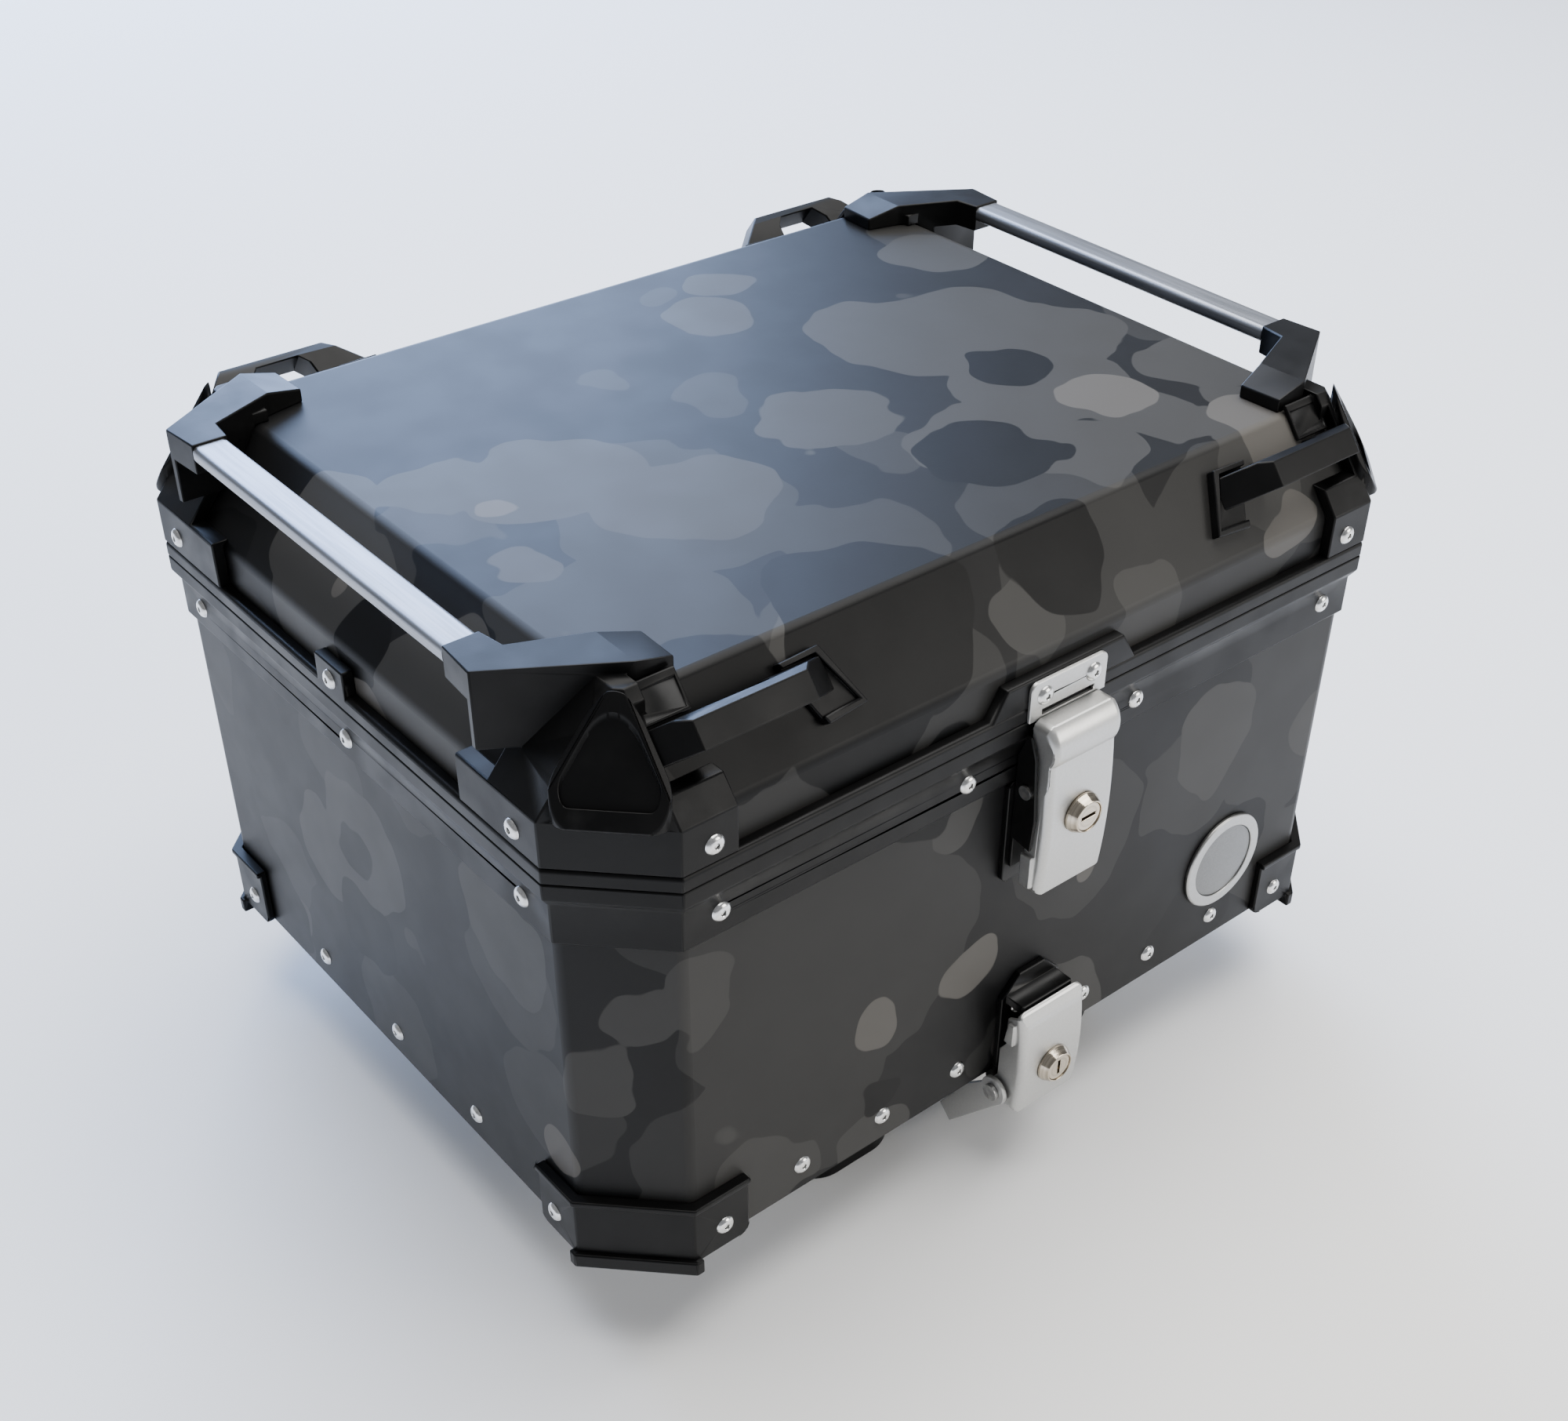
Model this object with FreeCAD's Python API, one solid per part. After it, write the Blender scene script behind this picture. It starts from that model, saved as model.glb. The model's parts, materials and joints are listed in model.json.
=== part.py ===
"""Motorcycle top case in sheet aluminium: one STEP file per physical piece, in millimetres."""
import FreeCAD, Part
import math
import os

Vec = FreeCAD.Vector

# Frame: +Z up, front towards -Y, origin at the centre of the plane the case stands on.

# Case body
BODY_HALF_X = 242.0
BODY_HALF_Y = 196.0
CORNER_LEG = 36.0
BODY_Z = 62.0
SHEET = 1.8
TRAY_FLANGE = 26.0
FIT = 0.3
OVERLAP = 1.0

# Rim on the body
RIM_BASE_Z = BODY_Z + 183.0
RIM_FLARE_Z = BODY_Z + 203.0
RIM_RIDGE_Z = BODY_Z + 208.0
RIM_LAND_Z = BODY_Z + 212.0
SEAM_Z = BODY_Z + 216.0
RIM_TOP_Z = SEAM_Z - FIT / 2
RIM_PROUD = 2.5
RIDGE_PROUD = 6.0
RIM_LEG = 2.5
RIM_LEG_DEPTH = 24.0
LAND_INSET = 10.0

# Lid
LID_RIM_BASE_Z = SEAM_Z + FIT / 2
LID_LIP_Z = BODY_Z + 224.0
LID_CHANNEL_Z = BODY_Z + 220.0
LID_LEG_TOP_Z = BODY_Z + 236.0
LID_CREASE_Z = BODY_Z + 244.0
LID_TOP_Z = BODY_Z + 285.6
LID_TOP_HALF_X = 207.0
LID_TOP_HALF_Y = 163.0
LID_TOP_LEG = 3.0
CREASE_GROWTH = 0.357
TOP_GROWTH = 0.476
LIP_ROUND = 2.5
RISER_HALF = 36.0
RISER_FOOT_HALF = 45.0
RISER_TOP_Z = BODY_Z + 237.5
TAB_HALF = 12.0
TAB_TOP_Z = BODY_Z + 236.0
SEAL_DEPTH = 2.5
SEAL_OUTER = 1.0
SEAL_INNER = -3.5

# Blind rivets
RIVET_SHANK_R = 2.4
RIVET_HEAD_R = 4.75
RIVET_HEAD_H = 1.9
RIVET_TAIL_R = 3.5
RIVET_TAIL_H = 2.6
RIVET_BORE_R = 1.3
RIVET_BORE_DEPTH = 1.6
DRILL_R = 2.45

# Corner protectors
PROTECTOR_T = 4.0
PROTECTOR_TOP_Z = BODY_Z + 34.0
PROTECTOR_BASE_Z = BODY_Z - 2.0
PROTECTOR_FOOT_Z = BODY_Z - 8.0
PROTECTOR_END_X = 177.0
PROTECTOR_END_Y = 133.0
PROTECTOR_BEAD = 1.6
PROTECTOR_BEAD_H = 3.2
PROTECTOR_END_R = 5.0
FOOT_PROUD = 6.5
FOOT_INSET = 16.0
FOOT_OVERHANG = 1.5

# Moulded base with two runners
BASE_HALF_X = 122.0
BASE_HALF_Y = 158.0
BASE_PLATE_T = 8.0
BASE_CORNER_R = 24.0
RUNNER_INNER_X = 43.0
RUNNER_OUTER_X = 107.0
RUNNER_WALL = 5.0
RUNNER_FLOOR = 6.0
RUNNER_END_R = 20.0
BOSS_R = 9.0
BOSS_H = 22.0
INSERT_R = 4.5
INSERT_BORE_R = 2.5
INSERT_H = 16.0
INSERT_X = 75.0
INSERT_Y = 128.0
BASE_SCREW_X = 28.0
BASE_SCREW_OUT_X = 114.5
BASE_SCREW_Y = 110.0
SCREW_R = 2.0
SCREW_HEAD_R = 4.0
SCREW_HEAD_H = 2.4
SCREW_LENGTH = 7.5

# Rocker latch
PAD_HALF = 27.0
PAD_BASE_Z = BODY_Z + 126.0
PAD_TOP_Z = RIM_BASE_Z - FIT
PAD_T = 3.0
BRACKET_T = 1.6
BRACKET_OUTER = 23.8
BRACKET_BASE_Z = BODY_Z + 135.0
BRACKET_TOP_Z = BODY_Z + 182.0
LATCH_HALF = 21.5
LATCH_WALL = 2.0
COVER_REACH = 40.0
COVER_CORNER = 4.5
COVER_EDGE = 4.0
COVER_WAIST = 1.1
WAIST_SPAN = 14.0
WAIST_DROP = 21.0
ROCKER_P = 10.0
ROCKER_Z = BODY_Z + 181.0
ROCKER_PIN_R = 2.0
ROCKER_HEAD_R = 3.5
ROCKER_HEAD_H = 1.2
RUNNING_FIT = 0.05
UPPER_LOCK_Z = BODY_Z + 166.5
LOCK_RING_R = 10.25
LOCK_BARREL_R = 9.7
LOCK_BORE_R = 7.4
LOCK_PLUG_R = 7.35
LOCK_RING_OUT = 28.0
LOCK_RING_IN = 22.6
LOCK_CONE_R = 8.1
LOCK_CONE_H = 4.2
LOCK_BACK = 13.0
LOCK_FACE = 27.4
KEYWAY_W = 9.0
KEYWAY_H = 1.8
KEYWAY_DEPTH = 5.0
CAM_T = 1.6
CAM_W = 7.0
CAM_L = 13.0
SPRING_R = 4.0
SPRING_WIRE_R = 0.6
SPRING_PITCH = 1.7
SPRING_TURNS = 5.25
SPRING_LEG = 16.0
SPRING_SHORT_LEG = 7.0
LIP_GAP = 0.4

# Keeper on the lid
KEEPER_HALF = 23.5
KEEPER_TOP_Z = BODY_Z + 236.0
KEEPER_T = 2.0
KEEPER_SLOT_HALF = 16.0
KEEPER_SLOT_Z = BODY_Z + 218.0
KEEPER_SLOT_H = 3.0
KEEPER_RIVET_X = 15.0
KEEPER_RIVET_Z = BODY_Z + 228.0

# Rack latch
HOUSING_HALF = 19.5
HOUSING_T = 3.5
HOUSING_BASE_Z = BODY_Z + 3.5
HOUSING_HEAD_Z = BODY_Z + 45.4
HOUSING_HEAD_TOP_Z = BODY_Z + 50.3
HOUSING_SHOULDER_Z = BODY_Z + 49.0
HOUSING_TOP_Z = BODY_Z + 60.0
HOUSING_TOP_HALF = 8.5
HOUSING_HEAD_HALF = 17.0
HOUSING_HEAD_P = 14.9
HOUSING_EDGE = 1.2
CHEEK_OUTER = 19.3
CHEEK_INNER = 14.0
CHEEK_R = 5.0
FOOT_BACK = 14.0
FOOT_T = 3.2
LEVER_P = 2.0
LEVER_Z = BODY_Z - 13.0
LEVER_INNER = 19.6
LEVER_TOP_P = 15.4
BORE_HALF = 30.0
LEVER_LOBE_R = 5.0
LEVER_PIN_R = 2.5
LEVER_HEAD_R = 4.0
LEVER_HEAD_H = 0.9
LOWER_LOCK_Z = BODY_Z + 10.0
CLAW_P = 7.5
CLAW_Z = BODY_Z - 6.0
CLAW_END_R = 8.0
CLAW_INNER = 23.0
CLAW_OUTER = 25.5
CLAW_PIN_R = 2.5
CLAW_HEAD_R = 4.5
CLAW_HEAD_H = 1.8

# Emblem
EMBLEM_X = 143.5
EMBLEM_Z = BODY_Z + 53.0
EMBLEM_R = 28.0
EMBLEM_DISC_R = 21.5
EMBLEM_RING_T = 2.4
EMBLEM_DISC_T = 1.6
EMBLEM_DOME = 1.6

# Hinges
HINGE_P = 10.0
HINGE_Z = SEAM_Z
HINGE_X = 120.0
HINGE_HALF = 32.0
KNUCKLE_R = 3.8
KNUCKLE_CLEAR_R = 4.1
HINGE_PIN_R = 1.6
HINGE_RIVET_X = 20.0
KNUCKLE_SEGMENTS = 5
LEAF_T = 3.0
BODY_LEAF_P = 5.0

# Lid corner castings
CASTING_T = 6.0
CASTING_END_X = 181.0
CASTING_END_Y = 105.0
FLANK_TOP_Z = BODY_Z + 247.0
PLATE_T = 10.0
PLATE_ROUND = 8.0
PLATE_APEX_ROUND = 19.0
PLATE_RIM = 4.2
PLATE_RECESS = 1.8
PLATE_BASE_Z = BODY_Z + 246.5
UPPER_PAD_T = 2.4
UPPER_PAD_RIM = 1.7
UPPER_PAD_RECESS = 0.7
LOWER_PAD_Z = BODY_Z + 257.5
POST_TOP_Z = BODY_Z + 297.0
POST_LOW_Z = BODY_Z + 292.0
POST_UNDER_Z = BODY_Z + 282.5
COLUMN_BASE_Z = BODY_Z + 261.0
COLUMN_Y = 124.0
SIDE_SKIN_Y = 128.0
LOOP_GAP = 17.5
LOOP_T = 5.0
LOOP_LOW = 23.0
LOOP_HIGH = 38.0
LOOP_BEVEL = 2.5
LOOP_PLATE_T = 2.8
LOOP_LIP_H = 5.2
LOOP_LIP_W = 2.8
CORNER_SCREW_X = 190.0
CORNER_SCREW_Y = 148.0
CORNER_SCREW_R = 2.5
CORNER_SCREW_HEAD_R = 5.0
CORNER_SCREW_HEAD_H = 3.0
CORNER_SCREW_DEPTH = 8.0

# Rails
RAIL_INNER_X = 231.0
RAIL_OUTER_X = 248.0
RAIL_END_Y = 105.0
RAIL_T = 8.0
RAIL_TOP_Z = BODY_Z + 296.0
RAIL_ROUND = 3.0
TONGUE_L = 14.0
TONGUE_INSET = 4.0
TONGUE_T = 4.0


def octagon(half_x, half_y, leg, z):
    """Closed wire of a rectangle with its four corners cut at 45 degrees."""
    corners = []
    for sx, sy in ((1, 1), (-1, 1), (-1, -1), (1, -1)):
        on_side = Vec(sx * half_x, sy * (half_y - leg), z)
        on_end = Vec(sx * (half_x - leg), sy * half_y, z)
        corners += [on_side, on_end] if sx * sy > 0 else [on_end, on_side]
    return Part.makePolygon(corners + [corners[0]])


def body_wire(proud, z):
    """Outline of the case walls moved outwards by proud."""
    leg = CORNER_LEG + proud * (2.0 - math.sqrt(2.0))
    return octagon(BODY_HALF_X + proud, BODY_HALF_Y + proud, leg, z)


def body_prism(proud, z0, z1):
    """Upright block with the outline of the case walls."""
    return Part.Face(body_wire(proud, z0)).extrude(Vec(0, 0, z1 - z0))


def body_ring(proud_out, proud_in, z0, z1):
    """Upright frame between two outlines of the case walls."""
    return body_prism(proud_out, z0, z1).cut(body_prism(proud_in, z0 - OVERLAP, z1 + OVERLAP))


def lid_form(grow):
    """Solid under the lid's outer surface, grown outwards by grow."""
    crease_z = LID_CREASE_Z + CREASE_GROWTH * grow
    top_x = LID_TOP_HALF_X + TOP_GROWTH * grow
    top_y = LID_TOP_HALF_Y + TOP_GROWTH * grow
    skirt = body_prism(grow, LID_RIM_BASE_Z, crease_z)
    top = octagon(top_x, top_y, LID_TOP_LEG, LID_TOP_Z + grow)
    roof = Part.makeLoft([body_wire(grow, crease_z), top], True, True)
    return skirt.fuse(roof).removeSplitter()


def box(x0, x1, y0, y1, z0, z1):
    """Box between two corners."""
    return Part.makeBox(x1 - x0, y1 - y0, z1 - z0, Vec(x0, y0, z0))


def front(p, z, x=0.0):
    """Point p in front of the front wall."""
    return Vec(x, -(BODY_HALF_Y + p), z)


def front_slab(points, x0, x1):
    """Slab across the front of the case from a side outline of (p, z) points."""
    outline = [front(p, z, x0) for p, z in points]
    return Part.Face(Part.makePolygon(outline + [outline[0]])).extrude(Vec(x1 - x0, 0, 0))


def arched_slab(low, middle, high, rest, x0, x1):
    """Slab across the front whose side outline is an arc through three points, then straight lines."""
    arc = Part.Arc(front(*low, x0), front(*middle, x0), front(*high, x0)).toShape()
    line = Part.makePolygon([front(p, z, x0) for p, z in [high] + rest + [low]])
    return Part.Face(Part.Wire([arc] + line.Edges)).extrude(Vec(x1 - x0, 0, 0))


def cover_outline(half, z0, z1, corner, waist=0.0):
    """Block with a latch cover's front outline: rounded corners and sides drawn in under the top."""
    y0 = -BODY_HALF_Y - COVER_REACH
    right = [Vec(half, y0, z0), Vec(half, y0, z1)]
    left = [Vec(-half, y0, z1), Vec(-half, y0, z0)]
    block = Part.Face(Part.makePolygon(right + left + [right[0]])).extrude(Vec(0, 2 * COVER_REACH, 0))
    block = block.makeFillet(corner, [e for e in block.Edges if e.BoundBox.YLength > COVER_REACH])
    if waist > 0:
        radius = (WAIST_SPAN ** 2 + waist ** 2) / (2 * waist)
        for side in (-1, 1):
            at = Vec(side * (half - waist + radius), y0, z1 - WAIST_DROP)
            block = block.cut(Part.makeCylinder(radius, 2 * COVER_REACH, at, Vec(0, 1, 0)))
    return block


def cross_bar(radius, p, z, x0, x1):
    """Round bar across the front of the case."""
    return Part.makeCylinder(radius, x1 - x0, front(p, z, x0), Vec(1, 0, 0))


def plan_slab(points, z0, z1):
    """Upright slab from a plan outline."""
    outline = [Vec(x, y, z0) for x, y in points]
    return Part.Face(Part.makePolygon(outline + [outline[0]])).extrude(Vec(0, 0, z1 - z0))


def mirrored(shape, flip_x, flip_y):
    """Copy of a shape made for the front left corner, moved to another corner."""
    if flip_x:
        shape = shape.mirror(Vec(0, 0, 0), Vec(1, 0, 0))
    if flip_y:
        shape = shape.mirror(Vec(0, 0, 0), Vec(0, 1, 0))
    return shape


def one_solid(shape):
    """The single solid of a result, without split faces."""
    return shape.removeSplitter().Solids[0]


def placed(shape, at, outward):
    """Shape made along +Z, set at a point with its axis along outward."""
    shape = shape.copy()
    shape.Placement = FreeCAD.Placement(at, FreeCAD.Rotation(Vec(0, 0, 1), outward))
    return shape


def blind_rivet(at, outward, grip):
    """Domed blind rivet with its mandrel bore, standing on the outer face."""
    bore_floor = RIVET_HEAD_H - RIVET_BORE_DEPTH
    rim = Vec(RIVET_HEAD_R, 0, 0)
    crown = Vec(RIVET_BORE_R, 0, RIVET_HEAD_H)
    shoulder = Vec(RIVET_HEAD_R * 0.8, 0, RIVET_HEAD_H * 0.66)
    dome = Part.Arc(rim, shoulder, crown).toShape()
    outline = [
        crown,
        Vec(RIVET_BORE_R, 0, bore_floor),
        Vec(0, 0, bore_floor),
        Vec(0, 0, -grip - RIVET_TAIL_H),
        Vec(RIVET_TAIL_R, 0, -grip - RIVET_TAIL_H),
        Vec(RIVET_TAIL_R, 0, -grip),
        Vec(RIVET_SHANK_R, 0, -grip),
        Vec(RIVET_SHANK_R, 0, 0),
        rim,
    ]
    wire = Part.Wire([dome] + Part.makePolygon(outline).Edges)
    rivet = Part.Face(wire).revolve(Vec(0, 0, 0), Vec(0, 0, 1), 360)
    return placed(rivet, at, outward)


def rivets(sites, proud, grip):
    """Compound of rivets, one for each (x, y, z, outward) site on the wall plane."""
    made = []
    for at, outward in sites:
        made.append(blind_rivet(at + outward * proud, outward, grip))
    return Part.makeCompound(made)


def drills(sites, depth=20.0):
    """Drill through every wall behind each site."""
    tools = []
    for at, outward in sites:
        tools.append(Part.makeCylinder(DRILL_R, 2 * depth, at + outward * depth, outward * -1))
    return Part.makeCompound(tools)


def end_sites(xs, z, both=True):
    """Sites on the front wall, and on the back wall too when both is set."""
    sites = [(Vec(x, -BODY_HALF_Y, z), Vec(0, -1, 0)) for x in xs]
    if both:
        sites += [(Vec(x, BODY_HALF_Y, z), Vec(0, 1, 0)) for x in xs]
    return sites


def side_sites(ys, z):
    """Sites on the left and right walls."""
    sites = [(Vec(-BODY_HALF_X, y, z), Vec(-1, 0, 0)) for y in ys]
    return sites + [(Vec(BODY_HALF_X, y, z), Vec(1, 0, 0)) for y in ys]


BOTTOM_ROW = (-142.5, -93.0, -44.0, 44.0, 93.0, 142.5)
BOTTOM_RIVET_Z = BODY_Z + 14.75
BOTTOM_SITES = end_sites(BOTTOM_ROW, BOTTOM_RIVET_Z) + side_sites((-73.0, 0.0, 73.0), BOTTOM_RIVET_Z)
BAND_RIVET_Z = BODY_Z + 194.5
BAND_SITES = end_sites((-188.0, -53.0, 53.0, 188.0), BAND_RIVET_Z) + side_sites((-141.0, 0.0, 141.0), BAND_RIVET_Z)
PROTECTOR_RIVET_Z = BODY_Z + 12.0
PROTECTOR_SITES = end_sites((-191.0, 191.0), PROTECTOR_RIVET_Z) + side_sites((-145.0, 145.0), PROTECTOR_RIVET_Z)
CASTING_RIVET_Z = BODY_Z + 233.0
CASTING_SITES = end_sites((-193.0, 193.0), CASTING_RIVET_Z) + side_sites((-145.0, 145.0), CASTING_RIVET_Z)
TAB_SITES = side_sites((0.0,), BODY_Z + 227.5)
KEEPER_SITES = end_sites((-KEEPER_RIVET_X, KEEPER_RIVET_X), KEEPER_RIVET_Z, both=False)
BRACKET_SITES = end_sites((-8.0, 8.0), BODY_Z + 141.0, both=False)
HOUSING_SITES = end_sites((-8.0, 8.0), BODY_Z + 40.0, both=False)
HINGE_XS = [side * HINGE_X + step for side in (-1, 1) for step in (-HINGE_RIVET_X, HINGE_RIVET_X)]
HINGE_BODY_RIVET_Z = BODY_Z + 193.5
HINGE_LID_RIVET_Z = BODY_Z + 234.5
HINGE_BODY_SITES = [(Vec(x, BODY_HALF_Y, HINGE_BODY_RIVET_Z), Vec(0, 1, 0)) for x in HINGE_XS]
HINGE_LID_SITES = [(Vec(x, BODY_HALF_Y, HINGE_LID_RIVET_Z), Vec(0, 1, 0)) for x in HINGE_XS]


def make_body_shell():
    """Folded sheet wall with 45 degree corners."""
    wall = body_ring(0, -SHEET, BODY_Z, RIM_LAND_Z)
    sites = BOTTOM_SITES + BAND_SITES + PROTECTOR_SITES + BRACKET_SITES + HOUSING_SITES + HINGE_BODY_SITES
    return one_solid(wall.cut(drills(sites)))


def make_bottom_panel():
    """Bottom tray whose flange stands inside the wall."""
    tray = body_prism(-SHEET, BODY_Z, BODY_Z + TRAY_FLANGE)
    tray = tray.cut(body_prism(-2 * SHEET, BODY_Z + SHEET, BODY_Z + TRAY_FLANGE + OVERLAP))
    holes = [Part.makeCylinder(SCREW_R, 2 * SHEET, at) for at in base_screw_points(BODY_Z - SHEET / 2)]
    return one_solid(tray.cut(drills(BOTTOM_SITES + PROTECTOR_SITES)).cut(Part.makeCompound(holes)))


def make_body_rim():
    """Moulded rim: outer band with a flared ridge, top land and inner leg, wall edge between them."""
    band = body_prism(RIM_PROUD, RIM_BASE_Z, RIM_FLARE_Z + OVERLAP)
    flare = Part.makeLoft([body_wire(RIM_PROUD, RIM_FLARE_Z), body_wire(RIDGE_PROUD, RIM_RIDGE_Z)], True, True)
    ridge = body_prism(RIDGE_PROUD, RIM_RIDGE_Z, RIM_TOP_Z)
    whole = band.fuse([flare, ridge]).removeSplitter()
    slot = body_ring(0, -SHEET, RIM_BASE_Z - OVERLAP, RIM_LAND_Z)
    inside = body_prism(-LAND_INSET, RIM_BASE_Z - OVERLAP, RIM_TOP_Z + OVERLAP)
    under_land = body_prism(-SHEET - RIM_LEG, RIM_BASE_Z - OVERLAP, RIM_LAND_Z)
    below_leg = body_prism(-SHEET, RIM_BASE_Z - OVERLAP, RIM_TOP_Z - RIM_LEG_DEPTH)
    rim = whole.cut([slot, inside, under_land, below_leg])
    return one_solid(rim.cut(drills(BAND_SITES + HINGE_BODY_SITES)))


def corner_region(end_x, end_y, z0, z1):
    """Block around the front left corner, past the given ends."""
    far = BODY_HALF_X + LAND_INSET * 2
    return box(-far, -end_x, -far, -end_y, z0, z1)


def make_protector():
    """Moulded guard round a bottom corner, with a bead on top and a foot under the corner facet."""
    skin = body_ring(PROTECTOR_T, 0, PROTECTOR_BASE_Z, PROTECTOR_TOP_Z)
    bead = body_ring(PROTECTOR_BEAD + PROTECTOR_T, 0, PROTECTOR_TOP_Z - PROTECTOR_BEAD_H, PROTECTOR_TOP_Z)
    region = corner_region(PROTECTOR_END_X, PROTECTOR_END_Y, PROTECTOR_BASE_Z, PROTECTOR_TOP_Z)
    guard = skin.fuse(bead).common(region)
    guard = guard.cut([end_rounding(True), end_rounding(False)])
    reach = BODY_HALF_X + BODY_HALF_Y - CORNER_LEG - FOOT_INSET * math.sqrt(2.0)
    near_x = BODY_HALF_X - CORNER_LEG - FOOT_OVERHANG
    near_y = BODY_HALF_Y - CORNER_LEG - FOOT_OVERHANG
    far_x = BODY_HALF_X + LAND_INSET
    far_y = BODY_HALF_Y + LAND_INSET
    under = plan_slab(
        [(-near_x, near_x - reach), (near_y - reach, -near_y), (-far_x, -near_y), (-far_x, -far_y),
         (-near_x, -far_y)], PROTECTOR_FOOT_Z, BODY_Z)
    foot = body_prism(FOOT_PROUD, PROTECTOR_FOOT_Z, BODY_Z).common(under)
    guard = guard.fuse(foot).removeSplitter()
    top_edges = [e for e in guard.Edges if is_level(e, PROTECTOR_TOP_Z)]
    guard = guard.makeFillet(PROTECTOR_BEAD * 0.6, top_edges)
    return one_solid(guard.cut(drills(PROTECTOR_SITES)))


def end_rounding(on_front):
    """Cutter that rounds the lower end corner of a guard's front or side plate."""
    radius = PROTECTOR_END_R
    low = PROTECTOR_BASE_Z - OVERLAP
    if on_front:
        at = Vec(-PROTECTOR_END_X - radius, -BODY_HALF_Y + OVERLAP, PROTECTOR_BASE_Z + radius)
        block = box(at.x, at.x + 2 * radius, -BODY_HALF_Y - 2 * PROTECTOR_T, at.y, low, at.z)
        return block.cut(Part.makeCylinder(radius, 4 * PROTECTOR_T, at, Vec(0, -1, 0)))
    at = Vec(-BODY_HALF_X + OVERLAP, -PROTECTOR_END_Y - radius, PROTECTOR_BASE_Z + radius)
    block = box(-BODY_HALF_X - 2 * PROTECTOR_T, at.x, at.y, at.y + 2 * radius, low, at.z)
    return block.cut(Part.makeCylinder(radius, 4 * PROTECTOR_T, at, Vec(-1, 0, 0)))


def is_level(edge, z, outer_only=True):
    """True for an edge lying at height z away from the inner outline."""
    if abs(edge.BoundBox.ZMin - z) > 0.01 or abs(edge.BoundBox.ZMax - z) > 0.01:
        return False
    middle = edge.CenterOfMass
    p = max(abs(middle.x) - BODY_HALF_X, abs(middle.y) - BODY_HALF_Y)
    corner = (abs(middle.x) + abs(middle.y) - BODY_HALF_X - BODY_HALF_Y + CORNER_LEG) / math.sqrt(2.0)
    return max(p, corner) > PROTECTOR_T if outer_only else True


def rounded_box(x0, x1, y0, y1, z0, z1, radius):
    """Box with rounded upright edges."""
    block = box(x0, x1, y0, y1, z0, z1)
    upright = [e for e in block.Edges if e.BoundBox.ZLength > (z1 - z0) / 2]
    return block.makeFillet(radius, upright)


def base_screw_points(z):
    """Where the screws of the base pass through the bottom tray."""
    points = []
    for x in (BASE_SCREW_X, BASE_SCREW_OUT_X):
        for sx in (-1, 1):
            for sy in (-1, 1):
                points.append(Vec(sx * x, sy * BASE_SCREW_Y, z))
    return points


def insert_points(z):
    """Where the threaded inserts stand in the runners."""
    return [Vec(sx * INSERT_X, sy * INSERT_Y, z) for sx in (-1, 1) for sy in (-1, 1)]


def make_mounting_base():
    """Moulded base plate with two hollow runners the case stands on."""
    plate_z = BODY_Z - BASE_PLATE_T
    base = rounded_box(-BASE_HALF_X, BASE_HALF_X, -BASE_HALF_Y, BASE_HALF_Y, plate_z, BODY_Z, BASE_CORNER_R)
    for side in (-1, 1):
        x0, x1 = sorted((side * RUNNER_INNER_X, side * RUNNER_OUTER_X))
        runner = rounded_box(x0, x1, -BASE_HALF_Y, BASE_HALF_Y, 0, plate_z + OVERLAP, RUNNER_END_R)
        cavity = rounded_box(
            x0 + RUNNER_WALL, x1 - RUNNER_WALL, -BASE_HALF_Y + RUNNER_WALL, BASE_HALF_Y - RUNNER_WALL,
            RUNNER_FLOOR, BODY_Z + OVERLAP, RUNNER_END_R - RUNNER_WALL)
        base = base.fuse(runner).cut(cavity)
    for at in insert_points(0):
        base = base.fuse(Part.makeCylinder(BOSS_R, BOSS_H, at))
        base = base.cut(Part.makeCylinder(INSERT_R, INSERT_H, at))
    for at in base_screw_points(BODY_Z - SCREW_LENGTH):
        base = base.cut(Part.makeCylinder(SCREW_R, SCREW_LENGTH + OVERLAP, at))
    return one_solid(base)


def make_rack_inserts():
    """Threaded inserts flush with the runners' undersides."""
    made = []
    for at in insert_points(0):
        bush = Part.makeCylinder(INSERT_R, INSERT_H, at)
        made.append(bush.cut(Part.makeCylinder(INSERT_BORE_R, INSERT_H, at)))
    return Part.makeCompound(made)


def make_base_screws():
    """Screws from inside the case down into the base."""
    made = []
    for at in base_screw_points(BODY_Z - SCREW_LENGTH):
        shank = Part.makeCylinder(SCREW_R, SCREW_LENGTH + SHEET, at)
        head = Part.makeCylinder(SCREW_HEAD_R, SCREW_HEAD_H, at + Vec(0, 0, SCREW_LENGTH + SHEET))
        made.append(shank.fuse(head).removeSplitter())
    return Part.makeCompound(made)


def make_emblem_ring():
    """Plain ring of the badge on the front wall."""
    centre = front(0, EMBLEM_Z, EMBLEM_X)
    ring = Part.makeCylinder(EMBLEM_R, EMBLEM_RING_T, centre, Vec(0, -1, 0))
    outer = [e for e in ring.Edges if abs(e.CenterOfMass.y - centre.y) > EMBLEM_RING_T / 2]
    ring = ring.makeFillet(EMBLEM_RING_T / 2, outer[:1])
    return one_solid(ring.cut(Part.makeCylinder(EMBLEM_DISC_R, EMBLEM_RING_T, centre, Vec(0, -1, 0))))


def make_emblem_disc():
    """Slightly domed plain disc inside the ring."""
    base = Part.makeCylinder(EMBLEM_DISC_R, EMBLEM_DISC_T, Vec(0, 0, 0))
    sphere_r = (EMBLEM_DISC_R ** 2 + EMBLEM_DOME ** 2) / (2 * EMBLEM_DOME)
    sphere = Part.makeSphere(sphere_r, Vec(0, 0, EMBLEM_DISC_T + EMBLEM_DOME - sphere_r))
    cap = sphere.common(Part.makeCylinder(EMBLEM_DISC_R, EMBLEM_DOME, Vec(0, 0, EMBLEM_DISC_T)))
    return one_solid(placed(base.fuse(cap), front(0, EMBLEM_Z, EMBLEM_X), Vec(0, -1, 0)))


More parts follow.
